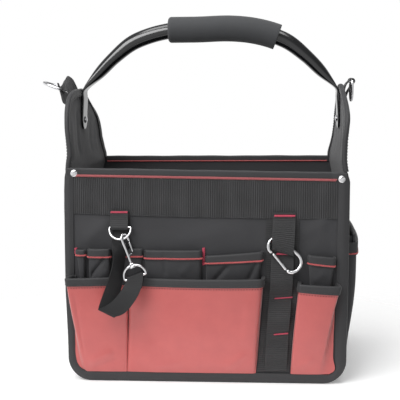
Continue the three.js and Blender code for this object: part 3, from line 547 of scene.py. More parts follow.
# Edge path down the left, round the bottom and up the right: x, z and the outward direction
def edgePath(leftTop, rightTop, count, cornerSteps=24):
    half, radius, foot = bag["halfWidth"], bag["cornerRadius"], bag["baseZ"]
    turns = np.linspace(0, math.pi / 2, cornerSteps)
    leftX = -(half - radius) - radius * np.cos(turns)
    left = np.column_stack([leftX, foot + radius - radius * np.sin(turns)])
    right = left[::-1] * (-1, 1)
    path = np.vstack([[(-half, leftTop)], left, right, [(half, rightTop)]])
    along = lengthsAlong(path)
    line = valuesAt(np.linspace(0, along[-1], count), along, path)
    forward = unit(np.gradient(line, axis=0))
    return line, np.column_stack([forward[:, 1], -forward[:, 0]])


# Body panels: columns crowd towards the sides, and the relief dies out at the seams
panelMake = {"crowding": 0.98, "sideHold": 30, "rimHold": 20, "relief": 1.1}
frontPanelLook = {
    "columns": 120, "rows": 84,
    "dents": [(-128, 182, 22, 16, 1.6), (-60, 184, 40, 14, -0.8), (20, 182, 34, 15, 1.0),
              (60, 178, 12, 18, -1.0), (134, 186, 12, 20, 1.4), (120, 172, 10, 12, -0.8)],
    "folds": [(-146, 166, -112, 196, 7, 1.0), (-40, 168, 40, 186, 9, 0.5), (110, 176, 146, 200, 6, 0.7)],
}


def bodyPanel(name, node, wall, topAt, look):
    bend = math.pi / 2 * panelMake["crowding"]
    x = bag["halfWidth"] * np.sin(np.linspace(-1, 1, look["columns"] + 1) * bend)[None, :] / math.sin(bend)
    share = np.linspace(0, 1, look["rows"] + 1)[:, None]
    z = floorAt(x) + (topAt(x) - floorAt(x)) * share
    held = softStep((bag["halfWidth"] - np.abs(x)) / panelMake["sideHold"])
    held = held * softStep((topAt(x) - z) / panelMake["rimHold"])
    out = relief(x, z, look["folds"], look["dents"]) * held * panelMake["relief"]
    return clothPiece(name, wall(x, out, z), black, [node], bag["panel"], offset=-1)


backPanelLook = {
    "columns": 100, "rows": 70,
    "dents": [(-90, 150, 60, 50, 1.8), (70, 120, 70, 60, 1.5), (0, 60, 90, 30, -0.8)],
    "folds": [(-120, 60, -60, 200, 16, 0.8), (60, 220, 120, 70, 18, 0.8)],
}
bodyPanel("frontPanel", "front_panel", onFront, rimAt, frontPanelLook)
bodyPanel("backPanel", "back_panel", onBack, backRimAt, backPanelLook)

basePanelLook = {  # a stiff pad swells down between the bindings to just above the floor
    "thick": 3, "rise": 34, "padHalfDepth": 92.4, "padMargin": 12, "padSide": 8, "padEnd": 4, "padLift": 0.15,
    "columns": 130, "rows": 60,
}


def basePanel(look):
    line, outward = edgePath(look["rise"], look["rise"], look["columns"] + 1)
    y = np.linspace(-1, 1, look["rows"] + 1)[:, None] * (bag["halfDepth"] - bag["panel"] - bag["gap"])
    reach = bag["halfWidth"] - bag["cornerRadius"] - look["padMargin"] + look["padSide"]
    pad = softStep((reach - np.abs(line[:, 0])) / look["padSide"])
    pad = pad * softStep((look["padHalfDepth"] + look["padEnd"] / 2 - np.abs(y)) / look["padEnd"])
    pad = pad * softStep(-outward[:, 1] * 20 - 18)  # only where the panel faces down
    pad = pad * (bag["baseZ"] - look["padLift"])
    x = line[:, 0] + pad * outward[:, 0]
    z = line[:, 1] + pad * outward[:, 1]
    points = np.stack(np.broadcast_arrays(x, -y, z), -1)
    return clothPiece("basePanel", points, black, ["base_panel"], look["thick"], offset=-1)


basePanel(basePanelLook)

# Side panels run on above the rim as the tabs that carry the handle
straightRows = [(34.3, 102.7, 102.7, 0, 0), (140, 102.7, 102.7, 0, 0), (246, 102.7, 102.7, 0, 0)]
tabs = {  # z, reach to the front and to the rear, how far those edges lean out
    "left": straightRows + [
        (258, 102.1, 102.1, -1.6, -2.6), (272, 101.6, 101.6, -4.4, -3.8), (286, 101, 101, -3.6, -3.8),
        (300, 99.5, 99.5, -2, -2.6), (314, 96, 91, -1.2, 0.6), (325, 89, 73, -0.4, 3.4),
        (334.4, 78, 48, 0, 3.2), (341.2, 62, 24, 0, 1.5), (344.4, 46, 8, 0, 0)],
    "right": straightRows + [
        (258, 102.1, 102.1, -1.2, -1.8), (272, 101.6, 101.6, -2, -0.6), (286, 101, 101, -1.8, 0.6),
        (300, 99.5, 99.5, 0, 1.5), (314, 94, 94, 1.4, 2.6), (326, 79, 80, 1, 3.4), (336, 60, 58, 0, 2.4),
        (343, 42, 36, -0.6, 0.8), (348, 24, 18, -0.6, 0)],
}
tabLook = {  # relief starts above the rim, dies out at the edge and stays clear of the handle's strip
    "leanWidth": 24, "leanCurve": 1.4, "crown": 1, "columns": 64, "heights": 120, "crowding": 1.45,
    "shoulder": 328, "reliefFrom": 256, "reliefFade": 14, "stripHalf": 13, "stripFade": 8, "stripFoot": 296,
    "stripFootFade": 10,
    "folds": [(-30, 258, -38, 330, 7, 1.4), (6, 256, 2, 296, 5, -1.0), (40, 256, 46, 318, 9, 1.2),
              (-64, 256, -70, 318, 9, -1.0), (74, 256, 80, 300, 7, -0.9)],
}


def tabReach(rows, y, z):
    values = throughRows(rows, z.ravel()).reshape(*z.shape, -1)
    front, rear, frontLean, rearLean = np.moveaxis(values, -1, 0)
    half = np.where(y < 0, front, rear)
    lean = np.where(y < 0, frontLean, rearLean)
    width = np.minimum(tabLook["leanWidth"], half)
    bend = np.clip(np.abs(y) - (half - width), 0, None) / width
    return half, lean * bend ** tabLook["leanCurve"]


def sidePanel(where, wall, turn):
    rows, look = tabs[where], tabLook
    foot, top = rows[0][0], rows[-1][0]
    rise = np.sin(np.linspace(0, 1, look["heights"] + 1) * look["crowding"]) / math.sin(look["crowding"])
    across = np.linspace(-1, 1, look["columns"] + 1)
    z = np.repeat((foot + (top - foot) * rise)[:, None], len(across), 1)
    half, _ = tabReach(rows, turn * across, z)
    y = turn * across * half
    _, lean = tabReach(rows, y, z)
    z = z + look["crown"] * (1 - across ** 2) * softStep((z - look["shoulder"]) / (top - look["shoulder"]))
    soft = relief(y, z, look["folds"]) * softStep((z - look["reliefFrom"]) / look["reliefFade"])
    soft = soft * softStep((half - np.abs(y)) / look["reliefFade"])
    belowStrip = softStep((look["stripFoot"] - z) / look["stripFootFade"])
    soft = soft * softStep((np.abs(y) - look["stripHalf"]) / look["stripFade"] + belowStrip)
    return clothPiece("sidePanel" + where.capitalize(), wall(turn * y, lean + soft, z), black,
                      ["side_panel_" + where], bag["side"], offset=-1)


sidePanel("left", onLeft, -1)
sidePanel("right", onRight, 1)
print("body panels made")

# Bindings: tape round the panel edges, over the rims and over the tabs
edgeTape = {
    "side": (9.4, 12), "corner": (8.4, 7.6), "bottom": 10.6, "back": 10, "puff": 0.9,
    "across": 18, "along": 330, "stitchIn": 2.4, "stitchLift": 0.15, "stitchEnds": 4,
    "tuck": 1.6, "tuckLength": 10, "waist": 2.4, "waistZ": 46, "waistLong": 24,
}


# The sewn tape is narrower round the corners; sense is -1 on the back wall, seen from behind
def edgeTapeWidth(outward, sense):
    right = outward[:, 0] * sense > 0
    side = np.where(right, edgeTape["side"][1], edgeTape["side"][0])
    corner = np.where(right, edgeTape["corner"][1], edgeTape["corner"][0])
    turn = np.arctan2(-outward[:, 1], np.abs(outward[:, 0]))
    straight = side + (edgeTape["bottom"] - side) * turn * 2 / math.pi
    return straight + (corner - (side + edgeTape["bottom"]) / 2) * np.sin(2 * turn)


def edgeBinding(name, node, wall, leftTop, rightTop, sense):
    middle = bag["gap"] + bag["tape"] / 2
    line, outward = edgePath(leftTop, rightTop, edgeTape["along"] + 1)
    width = edgeTapeWidth(outward, sense)
    waist = np.exp(-((line[:, 1] - edgeTape["waistZ"]) / edgeTape["waistLong"]) ** 2)
    width = width - edgeTape["waist"] * waist * (outward[:, 0] * sense < -0.5)
    # section: shares of the tape's width over the front, then mm round the panel's edge to the back
    corner = [(-1, middle), (-0.4, middle + edgeTape["puff"]), (-0.1, middle + 0.1)]
    fold = [(middle - 0.35, middle - 0.35), (middle + 0.1, -1.2), (middle, -edgeTape["back"])]
    profiles = [throughPoints([(u * wide, w, 0) for u, w in corner] + [(u, w, 0) for u, w in fold],
                              edgeTape["across"] + 1) for wide in width]
    inset, out = np.array(profiles)[..., :2].T
    run = lengthsAlong(line)
    free = np.minimum(run, run[-1] - run)
    inset = inset - edgeTape["tuck"] * (1 - softStep(free / edgeTape["tuckLength"]))
    x = line[:, 0] + inset * outward[:, 0]
    z = line[:, 1] + inset * outward[:, 1]
    piece = clothPiece(name, wall(x, out, z)[::-1], binding, [node], bag["tape"])
    seam = line + (edgeTape["stitchIn"] - width)[:, None] * outward
    face = wall(seam[:, 0], middle + bag["tape"] / 2 + edgeTape["stitchLift"], seam[:, 1])
    sewnPart = slice(edgeTape["stitchEnds"], -edgeTape["stitchEnds"])
    running(name + "Stitches", face[sewnPart], outOf(wall), **tapeSeam)
    return piece


edgesX = np.array((-1, 1)) * bag["halfWidth"]
edgeBinding("frontEdgeBinding", "front_edge_binding", onFront, *rimAt(edgesX), 1)
edgeBinding("backEdgeBinding", "back_edge_binding", onBack, *backRimAt(edgesX), -1)


# Section of a tape folded over an edge: out of the wall's outer face, and up
def overEdge(tape, wallThick):
    reach = wallThick / 2 + tape["gap"] + bag["tape"] / 2
    turns = np.linspace(0, math.pi, tape["round"])
    legs = np.linspace(-tape["leg"], -tape["legTop"], tape["legRows"])
    sides = np.full(tape["legRows"], reach)
    out = np.concatenate([sides, reach * np.cos(turns), -sides]) - wallThick / 2
    return out, np.concatenate([legs, reach * np.sin(turns) * tape["crest"], legs[::-1]])


rimTape = {
    "half": 163, "gap": bag["gap"], "leg": 6.5, "legTop": 1.2, "legRows": 4, "crest": 0.45, "along": 170,
    "round": 9, "slack": 0.1, "slackFrom": 3, "over": 1.3, "overFrom": 146, "overFade": 6,
}


def rimBinding(name, node, wall, topAt):
    out, up = (values[:, None] for values in overEdge(rimTape, bag["panel"]))
    x = np.linspace(-1, 1, rimTape["along"] + 1)[None, :] * rimTape["half"]
    over = rimTape["over"] * softStep((np.abs(x) - rimTape["overFrom"]) / rimTape["overFade"]) * (out > 0)
    # two uneven waves along the loose fold
    slack = rimTape["slack"] * (np.sin(x / 17) + np.sin(x / 7.3 + 1))
    z = topAt(x) + up + slack * np.clip(up + rimTape["slackFrom"], 0, None) / rimTape["slackFrom"]
    return clothPiece(name, wall(x, out + over, z), binding, [node], bag["tape"])


rimBinding("frontRimBinding", "front_rim_binding", onFront, rimAt)
rimBinding("backRimBinding", "back_rim_binding", onBack, backRimAt)

tabTape = {
    "gap": 0.5, "leg": 7, "legTop": 1.4, "legRows": 4, "crest": 0.8, "along": 240, "round": 9, "foot": 252,
    "sideSteps": 70, "topSteps": 24, "evened": 4, "stitchLift": 0.1,
}


def tabBinding(where, wall, turn):
    rows = tabs[where]
    z = np.linspace(tabTape["foot"], rows[-1][0], tabTape["sideSteps"])
    front, rear, _, _ = throughRows(rows, z).T
    near, far = (front, rear) if turn > 0 else (rear, front)
    top = np.linspace(-near[-1], far[-1], tabTape["topSteps"])[1:-1]
    crown = tabLook["crown"] * (1 - (top / np.where(top < 0, near[-1], far[-1])) ** 2)
    across = np.concatenate([-near, top, far[::-1]])
    path = np.column_stack([across, np.concatenate([z, z[-1] + crown, z[::-1]])])
    along = lengthsAlong(path)
    edge = evened(valuesAt(np.linspace(0, along[-1], tabTape["along"] + 1), along, path), tabTape["evened"])
    forward = unit(np.gradient(edge, axis=0))
    outward = np.column_stack([-forward[:, 1], forward[:, 0]])
    away, up = (values[:, None] for values in overEdge(tabTape, bag["side"]))
    side = edge[:, 0] + up * outward[:, 0]
    height = edge[:, 1] + up * outward[:, 1]
    _, lean = tabReach(rows, turn * side, np.clip(height, tabTape["foot"], rows[-1][0]))
    out = lean + away
    name = "tabBinding" + where.capitalize()
    clothPiece(name, wall(side, out, height), binding, ["tab_binding_" + where], bag["tape"])
    lift = bag["tape"] / 2 + tabTape["stitchLift"]
    running(name + "Stitches", wall(side[1], out[1] + lift, height[1]), outOf(wall), **tapeSeam)
    innerLine = wall(side[-2], out[-2] - lift, height[-2])
    running(name + "InnerStitches", innerLine, -outOf(wall), **tapeSeam)


tabBinding("left", onLeft, -1)
tabBinding("right", onRight, 1)

# Ribbed webbing band under the front rim
band = {
    "left": -154.4, "right": 152, "drop": 7, "height": 45.5, "slant": 0.0188, "rib": 2.6, "depth": 0.6,
    "sag": 1.6, "perRib": 7, "rows": 10, "sway": 0.5, "ripple": 0.21, "lift": 0.2, "thinned": 0.7,
}


def webbingBand():
    columns = int((band["right"] - band["left"]) / band["rib"] * band["perRib"])
    x = np.linspace(band["left"], band["right"], columns + 1)[None, :]
    share = np.linspace(1, 0, band["rows"] + 1)[:, None]
    sway = band["sway"] * np.sin(x / 31) * share
    ribs = band["depth"] * (np.abs(np.cos(math.pi * (x + sway) / band["rib"])) - 0.75)
    ripple = band["ripple"] * np.sin(x / 23 + 2 * share) * np.sin(math.pi * share)
    foot = band["height"] + band["sag"] * (1 - (x / bag["halfWidth"]) ** 2)
    z = bag["rimZ"] - (band["drop"] + foot * share) - band["slant"] * x
    out = bag["gap"] + bag["webbing"] / 2 + ribs + ripple + band["lift"]
    return clothPiece("frontWebbingBand", onFront(x, out, z), bandWebbing, ["front_webbing_band"],
                      bag["webbing"] * band["thinned"])


webbingBand()
rimLine = {
    "reach": (-151, 150), "drop": 7.4, "lift": 0.75,
    "stitch": {"height": 2.9, "pitch": 1.35, "thread": 0.58, "lean": 1.1, "material": dullRedThread},
}
backLine = {
    "reach": (-158, 158), "drop": 5.8, "lift": 0.1,
    "stitch": {"height": 1.7, "pitch": 1.0, "thread": 0.4, "lean": 0.8},
}
lineX = np.linspace(*rimLine["reach"], linePoints)
lineOut = bag["gap"] + bag["webbing"] + rimLine["lift"]
satin("rimStitches", onFront(lineX, lineOut, rimAt(lineX) - rimLine["drop"]), facing, zAxis,
      **rimLine["stitch"])
backX = np.linspace(*backLine["reach"], linePoints)
backZ = backRimAt(backX) - backLine["drop"]
tapeOut = bag["gap"] + bag["tape"]
satin("backRimInnerStitches", onBack(backX, -(bag["panel"] + tapeOut), backZ), facing, zAxis,
      **backLine["stitch"])
satin("backRimOuterStitches", onBack(backX, tapeOut + backLine["lift"], backZ), -facing, zAxis,
      **backLine["stitch"])
print("bindings and band made")


# Pockets: a wall from one sewn edge over two folds to the other, rows of
# z, sewn edge, fold, depth, crown, fold, depth, sewn edge
pocketMake = {
    "gusset": 9, "fall": 2.6, "front": 56, "rows": 44, "soften": 3, "seamHold": 9, "clear": 0.45,
    "legRows": 7, "legTop": 0.08, "round": 8, "lift": 0.2, "crest": 0.7,
    "inside": (-1.0, -3.2, -6.0),
}
pocketColumns = 2 * pocketMake["gusset"] + pocketMake["front"] + 1


def pocketPlace(spec, z, offset=0.0):
    gusset, front, fall = pocketMake["gusset"], pocketMake["front"], pocketMake["fall"]
    value = np.moveaxis(throughRows(spec["rows"], z.ravel()).reshape(*z.shape, -1), -1, 0)
    sewnL, foldL, depthL, crown, foldR, depthR, sewnR = value
    seat = bag["gap"]
    left = np.concatenate([np.linspace(0, 1, gusset + 1)[:-1], np.ones(front + 1 + gusset)])
    right = left[::-1]
    t = np.concatenate([np.zeros(gusset), np.linspace(0, 1, front + 1), np.ones(gusset)])
    u = foldL + (foldR - foldL) * t + (sewnL - foldL) * (1 - left) + (sewnR - foldR) * (1 - right)
    w = depthL + (depthR - depthL) * t + crown * (1 - (2 * t - 1) ** 2)
    w = w + (seat - depthL) * (1 - left ** fall) + (seat - depthR) * (1 - right ** fall)
    u, w = (evened(line.T, spec.get("soften", pocketMake["soften"])).T for line in (u, w))
    mask = softStep(np.minimum(t, 1 - t) * pocketMake["seamHold"])
    w = w + relief(u, z, spec.get("folds", ()), spec.get("dents", ())) * mask
    du, dw = np.gradient(u, axis=1), np.gradient(w, axis=1)
    size = np.hypot(du, dw)
    u, w = u - offset * dw / size, w + offset * du / size
    low, high = spec["rows"][0], spec["rows"][-1]
    middle = (high[2] + high[5]) / 2
    lift = spec["slope"] * (u - middle) * np.clip((z - low[0]) / (high[0] - low[0]), 0, 1)
    return spec["wall"](u, w, z + lift)


def pocketWall(name, node, spec, look):
    z = np.linspace(spec["rows"][0][0], spec["rows"][-1][0], pocketMake["rows"] + 1)
    points = pocketPlace(spec, np.repeat(z[:, None], pocketColumns, 1))
    return clothPiece(name, points, look, [node], bag["cloth"], offset=1, angle=55)


# The tape leaves some columns free at each end: down to the folds, or some way along the gussets
def tapeColumns(spec):
    first, last = spec["tapeEnds"]
    return slice(first, pocketColumns - last)


def tapeDepth(spec):
    return np.linspace(*spec["tape"], pocketColumns)


def pocketTape(name, node, spec):
    thick, clear, legRows = bag["tape"], pocketMake["clear"], pocketMake["legRows"]
    outer, inner = bag["cloth"] + clear + thick / 2, -clear - thick / 2
    middle, radius = (outer + inner) / 2, (outer - inner) / 2
    turns = np.linspace(0, math.pi, pocketMake["round"])
    inside = pocketMake["inside"]
    offsets = np.concatenate([[outer] * legRows, middle + radius * np.cos(turns), [inner] * len(inside)])
    legs = np.linspace(-1, -pocketMake["legTop"], legRows)[:, None] * tapeDepth(spec)
    folded = np.concatenate([pocketMake["lift"] + radius * np.sin(turns) * pocketMake["crest"], inside])
    heights = np.concatenate([legs, np.repeat(folded[:, None], pocketColumns, 1)])
    top = spec["rows"][-1][0]
    points = np.stack([pocketPlace(spec, top + np.minimum(height[None, :], 0), offset)[0]
                       for height, offset in zip(heights, offsets)])
    points[..., 2] += np.maximum(heights, 0)
    return clothPiece(name, points[:, tapeColumns(spec)], binding, [node], thick, angle=55)


# A line along the tape's lower edge, moved up and out of the cloth, with its outward directions
def seamLine(spec, shift, out):
    z = (spec["rows"][-1][0] - tapeDepth(spec) + shift)[None, :]
    line, beyond = (pocketPlace(spec, z, reach)[0][tapeColumns(spec)] for reach in (out, out + 1))
    return line, beyond - line


# How far out the thread lies on the tape and on the cloth, and how far above the tape's lower edge
onTape = bag["cloth"] + pocketMake["clear"] + bag["tape"] + 0.12
onCloth = bag["cloth"] + 0.1
redTapeShift, redClothShift, blackTapeShift = 1.6, -2.4, 1.7
# the cloth row's thread is darkened: painted shade of its needle holes
redSeams = {
    "tape": {"stitch": 2.2, "gap": 1.1, "thread": 0.32},
    "cloth": {"stitch": 1.9, "gap": 1.3, "thread": 0.42, "material": shadedRedThread},
}
redPockets = {
    "left": {
        "wall": onFront, "slope": 0, "tape": (7.6, 7.6), "tapeEnds": (0, 8),
        "rows": [
            (12.4, -143.6, -143, 1, 0.3, -95.8, 0.9, -95.3),
            (15.6, -149.8, -145.4, 2.4, 0.6, -95.7, 1.4, -95.2),
            (21.6, -154.4, -146.4, 4.4, 1.2, -95.5, 2.4, -94.9),
            (28.7, -156.2, -147.8, 6.2, 1.6, -95.2, 3, -94.6),
            (48, -156.6, -151, 9.5, 2, -94.5, 4, -93.8),
            (85, -155, -156.6, 14.5, 2.5, -93, 6.2, -92.1),
            (127.6, -153, -161.2, 19.5, 2, -92.6, 7.2, -91.5)],
        "folds": [(-145.5, 22, -152, 116, 2.6, -1.0), (-142, 22, -108, 40, 5, 1.3),
                  (-138, 16, -100, 30, 4, -0.9), (-128, 84, -104, 116, 7, 0.7)],
        "dents": [(-122, 70, 18, 34, 1.0), (-112, 100, 14, 20, 0.5)],
    },
    "centre": {
        "wall": onFront, "slope": 0.01, "tape": (7.4, 8), "tapeEnds": (8, 2),
        "rows": [
            (12.4, -93.9, -93.4, 0.9, 0.4, 56.4, 1, 59.2),
            (22, -93.4, -92.9, 2.4, 1.5, 57.6, 5, 60),
            (48, -92.1, -91.4, 4, 4, 59.5, 9.5, 62),
            (85, -90.1, -89.2, 6.2, 5.5, 62.8, 14.5, 64.5),
            (127.4, -89.7, -88.6, 7.2, 6.5, 67.3, 19.5, 67.3)],
        "folds": [(20, 18, 52, 40, 5, 1.1), (-86, 24, -60, 56, 7, 0.9), (48, 40, 54, 112, 6, 0.8),
                  (-70, 16, -20, 30, 5, 0.7), (-80, 80, -50, 112, 8, 0.6)],
        "dents": [(-30, 60, 40, 30, 1.2), (20, 88, 26, 24, -0.8), (-64, 30, 16, 14, 0.8)],
    },
    "right": {
        "wall": onFront, "slope": -0.05, "tape": (7.2, 8.8), "tapeEnds": (2, 2), "soften": 1,
        "rows": [
            (12.4, 101, 101.6, 1, 0.3, 133.2, 1, 146),
            (15.2, 101.3, 101.8, 2, 0.5, 134, 2, 150.6),
            (22, 101.9, 102.3, 4.4, 0.8, 135.5, 4, 152.4),
            (28.5, 102.3, 102.6, 5.8, 1, 136.9, 5.2, 150.8),
            (48, 103.8, 104, 9, 1.5, 140.5, 8.5, 150.5),
            (85, 107.4, 106.6, 13.5, 2, 147, 13.5, 150.8),
            (121.2, 111.2, 110, 18, 2, 155, 18, 150.8)],
        "folds": [(108, 22, 130, 34, 4, 0.7)],
        "dents": [(124, 70, 14, 26, 0.7)],
    },
}
for where, spec in redPockets.items():
    title = "redPocket" + where.capitalize()
    pocketWall(title, "red_pocket_" + where, spec, red)
    pocketTape(title + "Binding", f"red_pocket_{where}_binding", spec)
    running(title + "TapeStitches", *seamLine(spec, redTapeShift, onTape), **redSeams["tape"])
    running(title + "ClothStitches", *seamLine(spec, redClothShift, onCloth), **redSeams["cloth"])
print("red pockets made")


# Rows of a middle pocket from its foot's and its top's edges
def midRows(left, right, top, depth, crown):
    levels = [(95, 0, 1.1, 0.2), (118, 0, depth * 0.6, crown * 0.6), (top, 1, depth, crown)]
    hem = 1
    return [(z, left[k], left[k] + hem, deep, rise, right[k] - hem, deep, right[k])
            for z, k, deep, rise in levels]


midPockets = [
    {"rows": midRows((-146.8, -150.4), (-142.2, -141.5), 159.5, 6.5, 0.6),
     "slope": 0, "tape": (6.6, 6.6), "tapeEnds": (8, 8)},
    {"rows": midRows((-136, -136.2), (-112, -111.5), 160.7, 7, 1.5),
     "slope": 0, "tape": (9.7, 9.7), "tapeEnds": (8, 8),
     "folds": [(-138, 125, -114.5, 155, 2.6, -2.4), (-130, 120, -112, 140, 5, 1.2)]},
    {"rows": midRows((-106.2, -106.4), (-74.8, -74.5), 160.3, 1.9, 0.3),
     "slope": 0, "tape": (9.4, 9.4), "tapeEnds": (8, 8),
     "dents": [(-90, 140, 10, 10, 0.5)]},
    {"rows": midRows((-69.2, -69.4), (-5, -4.6), 159.4, 6.5, 1.5),
     "slope": 0, "tape": (9.7, 9.7), "tapeEnds": (8, 8),
     "folds": [(-46, 128, -48, 162, 3.2, -1.1), (-30, 130, -14, 148, 5, 0.9)],
     "dents": [(-26, 152, 10, 8, 0.7)]},
    {"rows": midRows((2, 1.6), (62, 66.2), 155.4, 6.5, 1.5),
     "slope": 0.08, "tape": (9, 10.3), "tapeEnds": (8, 2),
     "folds": [(8, 122, 29, 146, 3.4, -2.2), (49, 122, 62, 148, 3.4, -2.2)],
     "dents": [(40, 136, 9, 12, 1.0)]},
    {"rows": midRows((122.5, 120), (146, 149.5), 153, 7, 1),
     "slope": -0.1, "tape": (9.6, 10.6), "tapeEnds": (8, 2),
     "folds": [(124, 122, 140, 138, 4, 0.7)]},
]
midSeam = {"height": 2.2, "pitch": 0.95, "thread": 0.45, "lean": 0.5}
for number, spec in enumerate(midPockets, 1):
    spec["wall"] = onFront
    title = f"midPocket{number}"
    pocketWall(title, f"mid_pocket_{number}", spec, black)
    pocketTape(title + "Binding", f"mid_pocket_{number}_binding", spec)
    satin(title + "Stitches", *seamLine(spec, blackTapeShift, onTape), zAxis, **midSeam)
standingTacks = [(-1.8, 143, 162.7, 1.1), (-152.4, 156, 162, 1.4)]  # x, from z, to z, out of the panel
standingStitch = {"height": 3.6, "pitch": 0.8, "thread": 0.5, "lean": 0.2, "material": crimsonThread}
for number, (x, bottom, top, out) in enumerate(standingTacks, 1):
    tackLine = onFront(x, out, np.linspace(bottom, top, tackPoints))
    satin(f"standingTack{number}", tackLine, facing, xAxis, **standingStitch)
print("middle pockets made")

sidePockets = {
    "tall": {"slope": 0, "tape": (10.5, 10.5), "tapeEnds": (8, 2), "press": 0.3,
             "dents": [(-30, 120, 30, 20, 0.9), (40, 140, 24, 18, -0.7)],
             "folds": [(-70, 70, -40, 150, 8, 0.8), (50, 80, 74, 160, 8, 0.8)],
             "rows": [
                 (60, -84, -83, 1, 0.3, 83, 1, 84),
                 (110, -84, -83, 4.4, 1.6, 83, 4.4, 84),
                 (146, -84, -82.5, 7.6, 2.6, 82.5, 7.6, 84),
                 (174, -84, -82, 9.2, 2.6, 82, 9.2, 84)]},
    "low": {"slope": 0, "tape": (13, 13), "tapeEnds": (2, 2), "press": 0.3,
            "dents": [(-36, 80, 30, 24, 1.2), (34, 100, 30, 24, -0.9)],
            "folds": [(-80, 40, -40, 110, 9, 1.0), (52, 44, 80, 120, 9, 1.0), (-10, 40, 14, 96, 10, 0.6)],
            "rows": [
                (30, -90, -89, 1, 0.4, 89, 1, 90),
                (46, -90, -88.5, 2.6, 1.3, 88.5, 3.4, 90),
                (74, -90, -88.5, 6, 3, 88.5, 7.4, 90),
                (106, -90, -88, 9.6, 3.8, 88, 11, 90),
                (165, -90, -87, 10.8, 4.4, 87, 13.4, 90)]},
}
pressedInset = 10
sideSeam = {"height": 1.9, "pitch": 0.95, "thread": 0.4, "lean": 0.5}


# The left pockets lie flatter towards the front, where their rows end on that wall
def pressedRow(row, share):
    z, sewnL, foldL, depthL, crown, foldR, depthR, sewnR = row
    near = (-foldL - pressedInset, depthL * share, -sewnL - pressedInset)
    return (z, -sewnR, -foldR, depthR, crown, *near)


for where, wall in (("left", onLeft), ("right", onRight)):
    for kind, shape in sidePockets.items():
        spec = dict(shape, wall=wall)
        if where == "left":
            spec["rows"] = [pressedRow(row, shape["press"]) for row in shape["rows"]]
        title = f"sidePocket{kind.capitalize()}{where.capitalize()}"
        pocketWall(title, f"side_pocket_{kind}_{where}", spec, black)
        pocketTape(title + "Binding", f"side_pocket_{kind}_{where}_binding", spec)
        satin(title + "Stitches", *seamLine(spec, blackTapeShift, onTape), zAxis, **sideSeam)
print("side pockets made")


# Webbing along stations of centre and width direction, its ribs dying out at the two edges
ribFade = 8


def ribbon(name, stations, half, thick, nodes, rib, depth, perRib=5, columns=8, look=webbing):
    stations = np.array(stations, float)
    count = int(lengthsAlong(stations[:, :3])[-1] / rib * perRib)
    path = throughPoints(stations, count)
    centre, width = path[:, :3], unit(path[:, 3:6])
    along = unit(np.gradient(centre, axis=0))
    face = unit(np.cross(along, width))
    run = lengthsAlong(centre)[:, None]
    across = np.linspace(-1, 1, columns + 1)[None, :]
    lift = depth * (np.abs(np.cos(math.pi * run / rib)) - 0.5) * softStep((1 - np.abs(across)) * ribFade)
    points = centre[:, None] + width[:, None] * (half * across)[..., None] + face[:, None] * lift[..., None]
    return clothPiece(name, points, look, nodes, thick - depth, angle=50)


daisy = {
    "half": 13, "rib": 2.2, "depth": 0.5,
    "rows": [  # x, out, z, tilt of the width
        (91.4, 2.9, 206, 0), (91.3, 2.9, 198, 0), (91, 5.6, 190, 0), (90.6, 8.8, 181, -1),
        (90.3, 10.4, 172, -2.6), (90.1, 10.6, 164.8, -4.2), (90, 8.8, 160, -4.4), (89.9, 5.6, 158.2, -3.4),
        (89.9, 3.2, 156.4, -1.4), (89.8, 2.6, 152, 0), (89.6, 6.2, 143, 0), (89.2, 8.2, 131, 0),
        (88.4, 6.4, 115, 0), (87.8, 2.7, 107, 0), (87.6, 2.6, 102, 0), (87, 6, 93, 0), (86.2, 7.6, 83, 0),
        (85.4, 5.6, 71, 0), (85, 2.6, 63, 0), (84.9, 2.6, 58, 0), (84.2, 4, 48, 0), (83.4, 3.8, 32, 0),
        (82.6, 2.6, 16, 0.6)],
    "tacks": [  # from x, to x, z, slope, height
        (80.3, 103.3, 201.5, 0, 2.6), (83.4, 100, 157, 0, 2.6), (81.5, 101.4, 104.5, 0.08, 1.5),
        (81, 97, 61, 0.1, 1.8)],
    "tackLift": 0.35, "tackStitch": {"pitch": 0.75, "thread": 0.45, "lean": 0.2, "material": crimsonThread},
}
daisyStrip = {  # left and right edges by height
    "edges": [(14, 61, 98.6), (126, 70.6, 108.6), (197, 70.6, 108.6)],
    "rows": 260, "columns": 13, "ribs": 0.35, "thick": 0.9, "lift": 0.3,
}


def daisyBase():
    levels, left, right = np.array(daisyStrip["edges"]).T
    z = np.linspace(levels[0], levels[-1], daisyStrip["rows"])[:, None]
    left, right = np.interp(z, levels, left), np.interp(z, levels, right)
    x = left + (right - left) * np.linspace(0, 1, daisyStrip["columns"])[None, :]
    ribs = daisyStrip["ribs"] * np.abs(np.cos(math.pi * z / daisy["rib"]))
    points = onFront(x, bag["gap"] + daisyStrip["lift"] + ribs, z)
    return clothPiece("daisyBaseStrip", points, webbing, ["daisy_base_strip"], daisyStrip["thick"])


daisyBase()
daisyStations = [(*onFront(x, w, z), daisy["half"], 0, tilt) for x, w, z, tilt in daisy["rows"]]
ribbon("daisyWebbing", daisyStations, daisy["half"], bag["webbing"], ["daisy_webbing"], daisy["rib"],
       daisy["depth"], columns=12)
_, daisyOut, daisyZ, _ = np.array(daisy["rows"])[::-1].T
for number, (fromX, toX, z, slope, height) in enumerate(daisy["tacks"], 1):
    out = np.interp(z, daisyZ, daisyOut) + bag["webbing"] / 2 + daisy["tackLift"]
    x = np.linspace(fromX, toX, tackPoints)
    tackLine = onFront(x, out, z + slope * (x - x.mean()))
    satin(f"daisyTack{number}", tackLine, facing, zAxis, height, **daisy["tackStitch"])
print("tool strip made")


